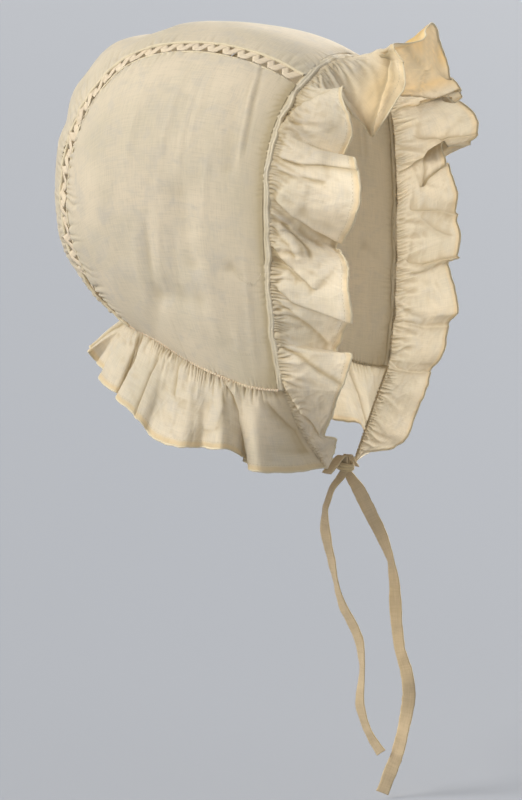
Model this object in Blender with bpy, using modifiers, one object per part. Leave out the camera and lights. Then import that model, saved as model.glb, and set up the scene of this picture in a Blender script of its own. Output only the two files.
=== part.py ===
"""Cotton nightcap: a three-piece cap with openwork seams, two gathered ruffles and tape ties.

Sizes and places are in millimetres and become metres when a mesh is made. The origin is the inside
of the crown, +Z is up, the face opening looks towards -Y and the wearer's right side is at -X.
"""

import math

import bmesh
import bpy
import numpy as np

OBJECT_NAME = "nightcap"
MM = 0.001

# Form of the cap
HALF_WIDTH = 82.0
CENTRE_Y = -5.0
CENTRE_Z = -97.0
TOP_HEIGHT = 97.0
BACK_REACH = 94.0
FRONT_REACH_TOP = 122.0
FRONT_REACH_LOW = 150.0
LOW_REACH_FRONT = 170.0
LOW_REACH_BACK = 87.0
SHAPE_POWER = 2.4

# Cloth and seams
WALL = 1.0
PIECE_GAP = 0.6
BAND_GAP = 0.5
RUFFLE_GAP = 1.4
NECK_RUFFLE_GAP = 1.0
OPENWORK_WIDTH = 9.0
BAND_WIDTH = 2.8
BAND_WALL = 1.6
NAPE_Z = -171.5
NAPE_DRAW_IN = 11.0
PUFF_SHOULDER = 0.5
OPENWORK_PITCHES = 28
RAIL_SHARE = 0.19
JOINT_SHARE = 0.17

CENTRE_INSET = (OPENWORK_WIDTH + PIECE_GAP) / 2
BACK_CORNER_ANGLE = 140.0

# Ruffles and ties
FACE_RUFFLE_SCALE = 1.0
NECK_RUFFLE_SCALE = 1.0
GATHER_PITCH = 14.0
GATHER_HEIGHT = 0.8
GATHER_FADE = 30.0
LEAN_POWER = 1.15
NAPE_BOW = 7.0
NAPE_BOW_REACH = 42.0
NECK_SEAM_BACK_Y = 24.0
CHIN = (-17.0, -85.0, -248.5)
CHIN_SAG = (-2.0, 1.6, -1.0)
DIRECTION_STEP = 4.0
TAPE_WALL = 1.0
KNOT_HOLE = (2.8, 4.4)
KNOT_CENTRE = (0.0, -87.0, -248.3)
KNOT_HEIGHT = 5.0

CLOTH_COLOUR = (0.78, 0.67, 0.47)
HEM_COLOUR = (0.80, 0.62, 0.34)
TAPE_COLOUR = (0.70, 0.52, 0.27)

# Columns: angle over the crown from the front in degrees, scale of the form's profile
PROFILE_TRIM = [
    (0, 1.0),
    (112, 1.0),
    (132, 0.985),
    (155, 0.99),
    (180, 0.995),
    (200, 0.98),
    (215, 0.96),
    (232, 0.96),
    (250, 1.0),
    (360, 1.0),
]

# Columns: angle over the crown in degrees, lateral place of the middle of an openwork seam
SEAM_PATH = [
    (30, 44.0),
    (60, 46.0),
    (85, 46.5),
    (105, 51.0),
    (125, 60.0),
    (145, 65.0),
    (170, 66.0),
    (195, 65.0),
    (215, 61.0),
    (235, 52.0),
    (250, 46.5),
    (270, 46.0),
]

# Columns: angle round the face opening from the level line in degrees, y of the cap's front edge
FRONT_EDGE = [
    (-62, -78.5),
    (-40, -78.0),
    (-10, -77.0),
    (20, -77.0),
    (45, -80.5),
    (62, -84.0),
    (90, -83.5),
]

# Columns: y, z of a side panel's neck edge
NECK_EDGE = [
    (-79, -200.0),
    (-60, -198.5),
    (-44, -194.0),
    (-30, -189.6),
    (-13, -183.0),
    (5, -176.0),
    (26, -171.5),
]

# Columns: angle over the crown in degrees, height of the centre panel's puff above its seams
CENTRE_PUFF = [
    (43, 0.0),
    (62, 0.5),
    (85, 1.0),
    (99, 1.0),
    (106, -0.4),
    (115, 0.6),
    (131, 2.6),
    (145, 1.8),
    (151, -0.4),
    (160, 0.6),
    (178, 0.3),
    (200, 0.0),
    (222, -0.6),
    (245, 0.0),
]

# Columns: y, z of one end, y, z of the other end, rise of the cloth between them, half width
SIDE_CREASES = [
    (-56, -19, -64, -34, 1.4, 5.0),
    (-64, -34, -65, -70, 1.6, 4.5),
    (-56, -40, -57, -75, -1.4, 5.0),
    (-26, -92, -33, -128, -1.8, 8.0),
    (-12, -146, -36, -150, -1.6, 8.0),
    (-38, -118, -50, -168, 1.5, 7.0),
    (-58, -131, -71, -139, -1.6, 4.0),
    (-54, -178, -71, -178, 0.8, 3.0),
    (30, -90, 20, -140, 1.4, 9.0),
    (2, -176, -10, -150, -1.5, 6.0),
]

# Columns: place on the seam from the top centre, then the free edge's reach forward, lean outward
# and slide along the seam. Rows come in pairs, one for a fold's crest and one for the dip behind it.
FACE_FOLDS = [
    (-289, 3, -4, 4),
    (-276, 7, -8, -3),
    (-264, 11, -9, -7),
    (-255, 9, -6, -9),
    (-240, 19, -9, -7),
    (-226, 29, -8, -3),
    (-210, 39, -6, 0),
    (-202, 41, -7, 0),
    (-194, 27, -17, -10),
    (-184, 33, -16, -8),
    (-174, 43, -9, -6),
    (-160, 44, -6, -5),
    (-148, 42, -10, -6),
    (-139, 38, -14, -9),
    (-132, 28, -24, -11),
    (-124, 38, -21, -8),
    (-115, 48, -11, -8),
    (-104, 53, -6, -9),
    (-94, 50, -6, -7),
    (-87, 44, -9, -5),
    (-81, 32, -18, -6),
    (-73, 38, -10, -5),
    (-63, 41, 2, -9),
    (-54, 35, 7, -12),
    (-48, 30, 8, -10),
    (-43, 22, -5, -8),
    (-37, 23, -16, -11),
    (-29, 30, -26, -17),
    (-22, 34, -34, -17),
    (-15, 41, -23, -11),
    (-8, 44, -12, -6),
    (-2, 42, -3, -8),
    (4, 33, 8, -12),
    (10, 34, 9, -8),
    (18, 41, 11, -10),
    (24, 41, 15, -13),
    (32, 41, 20, -16),
    (40, 40, 15, -13),
    (50, 42, 8, -10),
    (60, 43, 4, -10),
    (69, 46, 3, -9),
    (75, 41, -7, -17),
    (82, 41, 4, -15),
    (91, 46, 10, -16),
    (99, 49, 11, -15),
    (107, 48, 2, -15),
    (113, 40, -16, -22),
    (121, 38, -12, -20),
    (129, 38, -7, -19),
    (140, 43, -7, -18),
    (150, 44, -13, -16),
    (160, 44, -7, -14),
    (168, 43, -8, -11),
    (174, 41, -18, -13),
    (184, 41, -9, -10),
    (196, 43, -5, -6),
    (202, 42, -13, -5),
    (214, 40, -12, 1),
    (224, 38, -18, 6),
    (236, 34, -10, 8),
    (248, 33, -9, 11),
    (259, 29, -3, 13),
    (268, 25, -4, 12),
    (277, 15, -2, 4),
    (289, 4, -4, -4),
]

# Columns: place on the seam from the nape, then the free edge's lean outward, drop and slide
NECK_FOLDS = [
    (-160, -43, 49, -15),
    (-156, -32, 49, -12),
    (-152, -20, 49, -10),
    (-148, -6, 48, -8),
    (-144, 4, 47, -6),
    (-139, -4, 45, 0),
    (-136, -1, 41, -2),
    (-130, 11, 38, -6),
    (-125, 18, 38, -9),
    (-119, 10, 41, 0),
    (-112, 16, 43, -4),
    (-105, 22, 45, -7),
    (-98, 18, 46, 1),
    (-90, 13, 45, 4),
    (-82, 19, 43, 0),
    (-74, 22, 39, -3),
    (-66, 20, 36, 2),
    (-62, 10, 35, 6),
    (-57, 13, 36, -4),
    (-51, 18, 34, -4),
    (-46, 17, 31, 4),
    (-41, 15, 29, 8),
    (-34, 22, 26, 0),
    (-27, 26, 20, -4),
    (-18, 28, 17, -3),
    (-8, 30, 18, -2),
    (2, 29, 23, 2),
    (10, 34, 26, 5),
    (18, 25, 30, 8),
    (26, 31, 29, 10),
    (35, 20, 34, 10),
    (44, 25, 35, 12),
    (54, 13, 39, 10),
    (63, 22, 40, 10),
    (72, 12, 44, 8),
    (82, 22, 44, 9),
    (92, 11, 46, 7),
    (102, 20, 45, 8),
    (113, 9, 45, 6),
    (124, 17, 44, 8),
    (134, 4, 44, 8),
    (144, 4, 46, 7),
    (149, -6, 48, 8),
    (154, -22, 49, 10),
    (160, -43, 49, 15),
]

# Columns: x, y, z on the tape's centre line, compass angle of its width in degrees, width
TIE_RIGHT = [
    (-16.6, -84.0, -251.2, 90, 6.0),
    (-12.0, -84.6, -248.6, 90, 6.5),
    (-7.0, -85.8, -244.6, 90, 6.0),
    (-3.4, -86.8, -242.7, 90, 5.2),
    (-1.5, -87.0, -243.8, 90, 4.4),
    (-1.0, -87.0, -246.0, 90, 4.4),
    (-1.0, -87.0, -250.8, 90, 4.4),
    (-2.5, -86.0, -254.5, 78, 5.6),
    (-6.0, -81.5, -262.0, 60, 6.5),
    (-8.0, -78.5, -274.0, 50, 7.5),
    (-7.5, -78.5, -287.0, 76, 7.5),
    (-5.0, -81.0, -304.0, 62, 7.5),
    (-3.5, -83.0, -316.0, 50, 7.5),
    (-1.0, -87.0, -331.0, 72, 7.5),
    (2.0, -92.0, -342.0, 78, 7.5),
    (3.5, -95.0, -352.0, 64, 7.5),
    (4.0, -96.0, -366.0, 50, 7.5),
    (3.5, -95.5, -378.0, 58, 7.5),
    (3.5, -95.5, -388.0, 70, 7.5),
    (5.0, -98.0, -399.0, 66, 7.5),
    (6.5, -102.5, -408.0, 74, 7.5),
    (7.5, -107.0, -414.5, 84, 7.5),
]
TIE_LEFT = [
    (16.6, -84.0, -251.2, 90, 6.0),
    (12.0, -84.6, -248.6, 90, 6.5),
    (7.0, -85.8, -244.6, 90, 6.0),
    (3.4, -86.8, -242.7, 90, 5.2),
    (1.5, -87.0, -243.8, 90, 4.4),
    (1.0, -87.0, -246.0, 90, 4.4),
    (1.0, -87.0, -250.8, 90, 4.4),
    (2.4, -88.4, -254.6, 100, 5.6),
    (5.5, -93.0, -263.0, 112, 7.5),
    (8.0, -99.0, -276.0, 118, 7.5),
    (10.5, -105.0, -289.0, 96, 7.5),
    (12.0, -109.5, -301.5, 62, 7.5),
    (12.5, -112.0, -313.0, 74, 7.5),
    (12.5, -113.0, -327.0, 92, 7.5),
    (12.5, -114.0, -340.0, 84, 7.5),
    (12.5, -116.0, -354.0, 80, 7.5),
    (13.5, -119.5, -366.0, 94, 7.5),
    (14.5, -121.0, -378.0, 116, 7.5),
    (14.0, -120.0, -390.0, 104, 7.5),
    (13.0, -118.0, -402.0, 86, 7.5),
    (12.0, -115.0, -415.0, 96, 7.5),
    (9.5, -112.0, -425.0, 112, 7.5),
    (6.0, -108.5, -437.5, 120, 7.5),
]


def curve(rows, x, column=1):
    """Smooth curve through one column of a table, read at x in the first column."""
    xs = np.array([row[0] for row in rows], float)
    ys = np.array([row[column] for row in rows], float)
    secant = np.diff(ys) / np.diff(xs)
    slope = np.concatenate([secant[:1], (ys[2:] - ys[:-2]) / (xs[2:] - xs[:-2]), secant[-1:]])
    i = np.clip(np.searchsorted(xs, x, side="right") - 1, 0, len(xs) - 2)
    step = xs[i + 1] - xs[i]
    t = np.clip((x - xs[i]) / step, 0.0, 1.0)
    start = (1 + 2 * t) * (1 - t) ** 2 * ys[i] + t * (1 - t) ** 2 * step * slope[i]
    end = t * t * (3 - 2 * t) * ys[i + 1] + t * t * (t - 1) * step * slope[i + 1]
    return start + end


def ease(t):
    """Smooth step from 0 to 1."""
    t = np.clip(t, 0.0, 1.0)
    return t * t * (3 - 2 * t)


def bisect(above, low, high):
    """Values between low and high where above() turns from true to false."""
    low = np.asarray(low, float)
    high = np.asarray(high, float)
    for _ in range(48):
        middle = (low + high) / 2
        test = above(middle)
        low = np.where(test, middle, low)
        high = np.where(test, high, middle)
    return low


def room(y, z):
    """What the form's profile leaves for its width at (y, z): 1 on the axis, 0 at the profile."""
    front = FRONT_REACH_TOP + (FRONT_REACH_LOW - FRONT_REACH_TOP) * ease((-20 - z) / 90)
    reach_y = np.where(y < CENTRE_Y, front, BACK_REACH)
    low = LOW_REACH_FRONT + (LOW_REACH_BACK - LOW_REACH_FRONT) * ease((y + 90) / 125)
    reach_z = np.where(z > CENTRE_Z, TOP_HEIGHT, low)
    angle = np.degrees(np.arctan2(z - CENTRE_Z, CENTRE_Y - y))
    angle = np.where(angle < -80, angle + 360, angle)
    trim = curve(PROFILE_TRIM, np.maximum(angle, 0))
    across = np.abs((y - CENTRE_Y) / reach_y) ** SHAPE_POWER
    upright = np.abs((z - CENTRE_Z) / reach_z) ** SHAPE_POWER
    return 1 - (across + upright) / trim**SHAPE_POWER


def side_x(y, z):
    """Half width of the form at (y, z)."""
    return HALF_WIDTH * np.clip(room(y, z), 0, 1) ** (1 / SHAPE_POWER)


def over(x, angle):
    """(y, z) of the form at lateral place x, turned by angle from the front over the crown."""
    x, angle = np.broadcast_arrays(np.asarray(x, float), np.asarray(angle, float))
    dy = -np.cos(np.radians(angle))
    dz = np.sin(np.radians(angle))
    need = np.abs(x / HALF_WIDTH) ** SHAPE_POWER
    reach = bisect(
        lambda r: room(CENTRE_Y + r * dy, CENTRE_Z + r * dz) > need,
        np.zeros(x.shape),
        np.full(x.shape, 260.0),
    )
    return CENTRE_Y + reach * dy, CENTRE_Z + reach * dz


def front_edge(theta, forward=0.0):
    """Points of the cap's front edge, at angles round the face opening, moved forward on the form."""
    theta = np.asarray(theta, float)
    y = curve(FRONT_EDGE, np.where(theta > 90, 180 - theta, theta)) - forward
    dx = -np.cos(np.radians(theta))
    dz = np.sin(np.radians(theta))
    reach = bisect(
        lambda r: room(y, CENTRE_Z + r * dz) > np.abs(r * dx / HALF_WIDTH) ** SHAPE_POWER,
        np.zeros(theta.shape),
        np.full(theta.shape, 260.0),
    )
    return np.stack([reach * dx, y, CENTRE_Z + reach * dz], -1)


def neck_z(y):
    """Height of a side panel's neck edge."""
    return curve(NECK_EDGE, y)


def profile_angle(y, z):
    """Angle over the crown of a place in (y, z), 0 to 360 degrees from the front."""
    return np.degrees(np.arctan2(z - CENTRE_Z, CENTRE_Y - y)) % 360


def seam_x(angle, inset=0.0):
    """Lateral place of an openwork seam, or of a line that lies inset towards the middle."""
    return curve(SEAM_PATH, angle) - inset


def lengths(points):
    """Length along a line of points up to each point."""
    steps = np.linalg.norm(np.diff(points, axis=0), axis=1)
    return np.concatenate([[0.0], np.cumsum(steps)])


def strip_ends(place, share):
    """Angles over the crown at which a line on the form meets the front edge and the nape.

    place(angle) is the line's lateral place, for an array of the same shape as share.
    """

    def before_front(angle):
        x = place(angle)
        y, z = over(x, angle)
        theta = np.degrees(np.arctan2(z - CENTRE_Z, np.abs(x)))
        return y < curve(FRONT_EDGE, theta)

    shape = np.shape(share)
    front = bisect(before_front, np.full(shape, 20.0), np.full(shape, 85.0))
    nape = bisect(
        lambda angle: over(place(angle), angle)[1] > NAPE_Z,
        np.full(shape, 200.0),
        np.full(shape, 268.0),
    )
    return front, nape


def strip_point(place, along):
    """Points and angles of a line on the form, along from 0 at the front edge to 1 at the nape."""
    start, end = strip_ends(seam_x, 0.0)
    samples = np.linspace(float(start), float(end), 240)
    seam = np.stack([seam_x(samples), *over(seam_x(samples), samples)], -1)
    done = lengths(seam)
    even = (np.interp(along * done[-1], done, samples) - start) / (end - start)
    front, nape = strip_ends(place, along)
    angle = front + (nape - front) * even
    x = place(angle)
    y, z = over(x, angle)
    return x, y, z, angle


def centre_point(share, along):
    """Points of the centre panel, puffed between its seams and drawn in at the nape."""
    x, y, z, angle = strip_point(lambda angle: share * seam_x(angle, CENTRE_INSET), along)
    middle = ease((1 - np.abs(share)) / PUFF_SHOULDER)
    puff = curve(CENTRE_PUFF, angle) * middle
    draw = NAPE_DRAW_IN * ease((angle - 205) / 40) * middle
    y = y - np.cos(np.radians(angle)) * puff - draw
    z = z + np.sin(np.radians(angle)) * puff
    return np.stack([x, y, z], -1)


def corner_angle():
    """Angle round the face opening of the cap's front lower corner."""

    def below(theta):
        point = front_edge(theta)
        return point[..., 2] < neck_z(point[..., 1])

    return float(bisect(below, -66.0, -40.0))


def side_limit(y, z):
    """Lateral place of a side panel's edge along the openwork, at a place in (y, z)."""
    return seam_x(profile_angle(y, z), -CENTRE_INSET)


def side_outline(along, up):
    """The four edges of a side panel in (y, z): neck, seam top, front and seam back."""
    low = corner_angle()

    def below_seam(theta):
        x, y, z = np.moveaxis(front_edge(theta), -1, 0)
        return np.abs(x) > side_limit(y, z)

    top = float(bisect(below_seam, 0.0, 88.0))
    heel = float(bisect(lambda y: side_x(y, neck_z(y)) > side_limit(y, neck_z(y)), -20.0, 40.0))
    neck_y = front_edge(low)[1] + (heel - front_edge(low)[1]) * along
    neck = np.stack([neck_y, neck_z(neck_y)], -1)
    front = front_edge(low + (top - low) * up)[..., 1:]

    def on_seam(start, share):
        angle = start + (BACK_CORNER_ANGLE - start) * share
        return np.stack(over(seam_x(angle, -CENTRE_INSET), angle), -1)

    seam_top = on_seam(profile_angle(*front_edge(top)[1:]), along)
    seam_back = on_seam(profile_angle(heel, neck_z(heel)), up)
    return neck, seam_top, front, seam_back


def crease_rise(y, z):
    """Height of the side panels' soft creases above the form."""
    rise = np.zeros(np.shape(y))
    for y1, z1, y2, z2, height, half_width in SIDE_CREASES:
        run = np.array([y2 - y1, z2 - z1], float)
        share = np.clip(((y - y1) * run[0] + (z - z1) * run[1]) / (run @ run), 0, 1)
        away = np.hypot(y - y1 - share * run[0], z - z1 - share * run[1])
        rise = rise + height * np.exp(-((away / half_width) ** 2))
    return rise


def side_point(along, up, side):
    """Points of a side panel: a patch between its four edges, laid on the form."""
    neck, seam_top, front, seam_back = side_outline(along, up)
    ends = side_outline(np.array([0.0, 1.0]), np.array([0.0, 1.0]))
    s = along[..., None]
    t = up[..., None]
    edges = (1 - t) * neck + t * seam_top + (1 - s) * front + s * seam_back
    corners = (1 - s) * (1 - t) * ends[0][0] + s * (1 - t) * ends[0][1]
    corners = corners + (1 - s) * t * ends[1][0] + s * t * ends[1][1]
    y, z = np.moveaxis(edges - corners, -1, 0)
    inside = 16 * along * (1 - along) * up * (1 - up)
    x = np.maximum(side_x(y, z), side_limit(y, z)) + crease_rise(y, z) * ease(inside * 1.5)
    return np.stack([side * x, y, z], -1)


def face_seam():
    """Line of the face ruffle's seam, from the right chin end over the crown to the left one."""
    corner = corner_angle()
    theta = np.linspace(corner, 180 - corner, 500)
    arch = front_edge(theta, BAND_WIDTH + RUFFLE_GAP)
    t = np.linspace(0, 1, 50)[:, None]
    sag = np.array(CHIN_SAG) * np.sin(np.pi * t)
    right = np.array(CHIN) * (1 - t) + arch[0] * t + sag
    left = right[::-1] * np.array([-1, 1, 1])
    return np.concatenate([right[:-1], arch, left[1:]])


def neck_seam():
    """Line of the neck ruffle's seam, from the right front corner round the nape to the left one."""
    start = front_edge(corner_angle())[1]
    y = np.linspace(start, NECK_SEAM_BACK_Y, 160)
    right = np.stack([-side_x(y, neck_z(y)), y, neck_z(y)], -1)
    nape = centre_point(np.linspace(-1, 1, 60), np.ones(60))
    left = right[::-1] * np.array([-1, 1, 1])
    past = np.abs(nape[0, 0]) + OPENWORK_WIDTH
    line = np.concatenate([right[right[:, 0] < -past], nape, left[left[:, 0] > past]])
    return line - np.array([0, 0, NECK_RUFFLE_GAP])


def read_line(line, places):
    """Points and directions of a line at places measured along it from its middle."""
    done = lengths(line)
    done = done - done[-1] / 2
    points = np.stack([np.interp(places, done, line[:, k]) for k in range(3)], -1)
    ahead = np.stack([np.interp(places + DIRECTION_STEP, done, line[:, k]) for k in range(3)], -1)
    behind = np.stack([np.interp(places - DIRECTION_STEP, done, line[:, k]) for k in range(3)], -1)
    return points, ahead - behind


def ruffle_points(line, folds, reach, turn, scale, share, out):
    """Points of a ruffle: its seam, and a free edge set by the table of folds.

    reach is the direction that the ruffle runs in and turn puts the outward side on the cap's
    outside, share and out are 0 to 1 along and across it, and scale is its depth beside the table's.
    """
    half = lengths(line)[-1] / 2
    places = half * (2 * share - 1)
    seam, tangent = read_line(line, places)
    tangent = tangent - (tangent @ reach)[:, None] * reach
    tangent = tangent / np.linalg.norm(tangent, axis=1)[:, None]
    outward = turn * np.cross(reach, tangent)
    row = (2 * share - 1) * abs(folds[0][0])
    forward = curve(folds, row, 1) * scale
    lean = curve(folds, row, 2) * scale
    slide = curve(folds, row, 3) * scale
    near_seam = 27 / 4 * out * (1 - out) ** 2
    gather = GATHER_HEIGHT * np.sin(2 * np.pi * places / GATHER_PITCH) * near_seam
    gather = gather * ease((half - np.abs(places)) / GATHER_FADE)
    bulge = lean * out**LEAN_POWER + gather
    points = seam + (forward * out)[:, None] * reach
    return points + bulge[:, None] * outward + (slide * out)[:, None] * tangent


def face_ruffle_point(share, out):
    """Points of the face ruffle."""
    reach = np.array([0.0, -1.0, 0.0])
    return ruffle_points(face_seam(), FACE_FOLDS, reach, 1, FACE_RUFFLE_SCALE, share, out)


def neck_ruffle_point(share, out):
    """Points of the neck ruffle, whose table gives the lean before the drop."""
    reach = np.array([0.0, 0.0, -1.0])
    folds = [(place, drop, lean, slide) for place, lean, drop, slide in NECK_FOLDS]
    points = ruffle_points(neck_seam(), folds, reach, -1, NECK_RUFFLE_SCALE, share, out)
    place = (2 * share - 1) * NECK_FOLDS[-1][0]
    bow = NAPE_BOW * np.sin(np.pi * out) * np.exp(-((place / NAPE_BOW_REACH) ** 2))
    return points - bow[:, None] * reach


def tape_point(rows, along, across):
    """Points of a tie: a flat tape along its route, turned as the table says."""
    stops = [(i, *row) for i, row in enumerate(rows)]
    place = along * (len(rows) - 1)
    point = np.stack([curve(stops, place, k) for k in (1, 2, 3)], -1)
    ahead = np.stack([curve(stops, np.minimum(place + 0.05, len(rows) - 1), k) for k in (1, 2, 3)], -1)
    behind = np.stack([curve(stops, np.maximum(place - 0.05, 0), k) for k in (1, 2, 3)], -1)
    tangent = (ahead - behind) / np.linalg.norm(ahead - behind, axis=1)[:, None]
    facing = np.radians(curve(stops, place, 4))
    width = np.stack([np.cos(facing), np.sin(facing), np.zeros(len(facing))], -1)
    width = width - np.sum(width * tangent, axis=1)[:, None] * tangent
    width = width / np.linalg.norm(width, axis=1)[:, None]
    return point + width * (curve(stops, place, 5) * (across - 0.5))[:, None]


def cloth_material(name, colour, roughness=0.9):
    """A plain cloth material."""
    material = bpy.data.materials.new(name)
    material.use_nodes = True
    shader = material.node_tree.nodes["Principled BSDF"]
    shader.inputs["Base Color"].default_value = (*colour, 1.0)
    shader.inputs["Roughness"].default_value = roughness
    shader.inputs["Metallic"].default_value = 0.0
    return material


def add_sheet(name, bm, collection, material, wall, offset):
    """Make an object of an open sheet and give it its wall."""
    mesh = bpy.data.meshes.new(name)
    bm.to_mesh(mesh)
    bm.free()
    mesh.shade_smooth()
    mesh.set_sharp_from_angle(angle=math.radians(50))
    sheet = bpy.data.objects.new(name, mesh)
    collection.objects.link(sheet)
    mesh.materials.append(material)
    solidify = sheet.modifiers.new("wall", "SOLIDIFY")
    solidify.thickness = wall * MM
    solidify.offset = offset
    return sheet


def add_grid(name, place, columns, rows, collection, material, wall=WALL, offset=-1.0, flip=False):
    """A sheet from a grid whose points place(u, v) gives."""
    bm = bmesh.new()
    bmesh.ops.create_grid(bm, x_segments=columns, y_segments=rows, size=0.5)
    corners = np.array([vertex.co[:2] for vertex in bm.verts]) + 0.5
    points = place(corners[:, 0], corners[:, 1]) * MM
    for vertex, point in zip(bm.verts, points):
        vertex.co = point
    if flip:
        bmesh.ops.reverse_faces(bm, faces=bm.faces)
    return add_sheet(name, bm, collection, material, wall, offset)


def openwork_point(along, across, side):
    """Points of an openwork strip, across from the centre panel's side to the side panel's."""
    inset = (0.5 - across) * (OPENWORK_WIDTH - PIECE_GAP)
    x, y, z, _ = strip_point(lambda angle: seam_x(angle, inset), along)
    return np.stack([side * x, y, z], -1)


def openwork_faces():
    """Flat outline of an openwork strip: two rails and the zigzag bars between them.

    Returns the corners as (along, across) and the faces as lists of corner numbers. A bar starts on
    one rail at a joint and ends on the other, and two bars at a joint stand side by side.
    """
    lines = ((1.0, 1.0 - RAIL_SHARE), (0.0, RAIL_SHARE))
    steps = 2 * OPENWORK_PITCHES
    joint = JOINT_SHARE / OPENWORK_PITCHES
    numbers = {}
    faces = []

    def corner(along, across):
        return numbers.setdefault((round(along, 7), across), len(numbers))

    for rail, (edge, line) in enumerate(lines):
        joints = sorted({0, steps, *range(rail, steps + 1, 2)})
        for first, last in zip(joints, joints[1:]):
            start = first / steps
            end = last / steps
            inner = [(end, line)]
            if last % 2 == rail:
                inner.append((end - joint, line))
            if first % 2 == rail:
                inner.append((start + joint, line))
            outline = [(start, edge), (end, edge), *inner, (start, line)]
            faces.append([corner(*place) for place in outline])
    for step in range(steps):
        line = lines[step % 2][1]
        other = lines[1 - step % 2][1]
        start = step / steps
        end = (step + 1) / steps
        bar = [(start, line), (start + joint, line), (end, other), (end - joint, other)]
        faces.append([corner(*place) for place in bar])
    return np.array(list(numbers)), faces


def add_openwork(name, side, collection, material):
    """An openwork strip laid on the form, with a three-sided gap between each two bars."""
    places, faces = openwork_faces()
    points = openwork_point(places[:, 0], places[:, 1], side) * MM
    bm = bmesh.new()
    vertices = [bm.verts.new(point) for point in points]
    for face in faces:
        bm.faces.new([vertices[number] for number in face])
    bmesh.ops.recalc_face_normals(bm, faces=bm.faces)
    bm.faces.ensure_lookup_table()
    bm.normal_update()
    if bm.faces[OPENWORK_PITCHES // 2].normal.z < 0:
        bmesh.ops.reverse_faces(bm, faces=bm.faces)
    return add_sheet(name, bm, collection, material, WALL, -1.0)


def add_knot(collection, material):
    """The half knot: a short flattened sleeve round both tapes."""
    bm = bmesh.new()
    bmesh.ops.create_cone(bm, segments=20, radius1=1.0, radius2=1.0, depth=KNOT_HEIGHT)
    for vertex in bm.verts:
        vertex.co.x = (KNOT_CENTRE[0] + vertex.co.x * KNOT_HOLE[0]) * MM
        vertex.co.y = (KNOT_CENTRE[1] + vertex.co.y * KNOT_HOLE[1]) * MM
        vertex.co.z = (KNOT_CENTRE[2] + vertex.co.z) * MM
    return add_sheet("tie_knot", bm, collection, material, WALL, 1.0)


def build():
    """Build the whole cap."""
    for old in list(bpy.data.objects):
        bpy.data.objects.remove(old)
    parts = bpy.data.collections.new(OBJECT_NAME)
    bpy.context.scene.collection.children.link(parts)

    def material(name, colour=CLOTH_COLOUR):
        return cloth_material(name + "_cotton", colour)

    add_grid(
        "centre_panel",
        lambda u, v: centre_point(2 * u - 1, v),
        9,
        30,
        parts,
        material("centre_panel"),
    )
    for name, side in (("right", -1), ("left", 1)):
        add_grid(
            "side_panel_" + name,
            lambda u, v, side=side: side_point(u, v, side),
            12,
            13,
            parts,
            material("side_panel_" + name),
            flip=side < 0,
        )
        add_openwork("openwork_" + name, side, parts, material("openwork_" + name, HEM_COLOUR))
    corner = corner_angle()
    add_grid(
        "face_band",
        lambda u, v: front_edge(corner + (180 - 2 * corner) * u, BAND_GAP + BAND_WIDTH * v),
        50,
        1,
        parts,
        material("face_band", HEM_COLOUR),
        wall=BAND_WALL,
        offset=0.0,
    )
    add_grid("face_ruffle", face_ruffle_point, 144, 5, parts, material("face_ruffle"), offset=0.0)
    add_grid("neck_ruffle", neck_ruffle_point, 90, 4, parts, material("neck_ruffle"), offset=0.0)
    for name, rows in (("tie_right", TIE_RIGHT), ("tie_left", TIE_LEFT)):
        add_grid(
            name,
            lambda u, v, rows=rows: tape_point(rows, u, v),
            60,
            1,
            parts,
            material(name, TAPE_COLOUR),
            wall=TAPE_WALL,
            offset=0.0,
        )
    add_knot(parts, material("tie_knot", TAPE_COLOUR))


build()
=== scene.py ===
# %% [markdown]
# # A cotton nightcap
# A cap for sleeping in, made from one long strip over the middle of the head and two side panels.
# Open zigzag insertions join them. A gathered ruffle frames the face and a second one falls round
# the neck, and two tapes are half knotted under the chin. Everything hangs as if a head filled it.
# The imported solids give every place. The pieces below lie over them with the cloth's real detail:
# gathers, rolled hems, thread and weave.

# %% Load the frame
import math

import bpy
import numpy as np
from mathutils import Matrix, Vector


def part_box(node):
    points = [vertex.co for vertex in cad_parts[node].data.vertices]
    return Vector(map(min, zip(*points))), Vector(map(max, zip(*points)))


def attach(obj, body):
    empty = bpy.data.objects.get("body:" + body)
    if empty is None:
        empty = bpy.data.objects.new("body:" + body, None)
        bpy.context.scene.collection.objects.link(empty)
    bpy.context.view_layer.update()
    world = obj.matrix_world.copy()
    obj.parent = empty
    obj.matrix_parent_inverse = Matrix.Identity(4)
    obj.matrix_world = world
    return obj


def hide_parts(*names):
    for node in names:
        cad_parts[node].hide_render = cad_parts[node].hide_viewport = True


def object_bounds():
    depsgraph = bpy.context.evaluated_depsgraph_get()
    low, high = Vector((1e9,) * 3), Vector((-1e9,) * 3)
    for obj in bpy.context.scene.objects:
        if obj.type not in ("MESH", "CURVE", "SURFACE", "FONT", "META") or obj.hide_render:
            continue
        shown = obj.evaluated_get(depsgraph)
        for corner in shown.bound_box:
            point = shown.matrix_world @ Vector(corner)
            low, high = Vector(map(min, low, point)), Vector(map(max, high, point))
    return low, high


MM = 0.001
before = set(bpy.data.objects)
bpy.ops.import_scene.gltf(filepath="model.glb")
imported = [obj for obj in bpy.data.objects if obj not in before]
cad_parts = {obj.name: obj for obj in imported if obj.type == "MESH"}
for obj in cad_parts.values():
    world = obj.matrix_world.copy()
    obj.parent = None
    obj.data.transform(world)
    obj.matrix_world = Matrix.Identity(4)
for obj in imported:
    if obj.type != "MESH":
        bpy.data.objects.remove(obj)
print(len(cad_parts), "solids in the frame")
cad_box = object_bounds()
print("CAD box in metres:", [[round(value, 4) for value in corner] for corner in cad_box])


def link(piece):
    """Put an object into the scene."""
    bpy.context.scene.collection.objects.link(piece)
    return piece


# %% [markdown]
# ## Camera
# A long lens far away keeps the cap's outline free of perspective swelling. The camera stands to the
# wearer's right and a little above, and looks at a place just below the cap.

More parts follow.
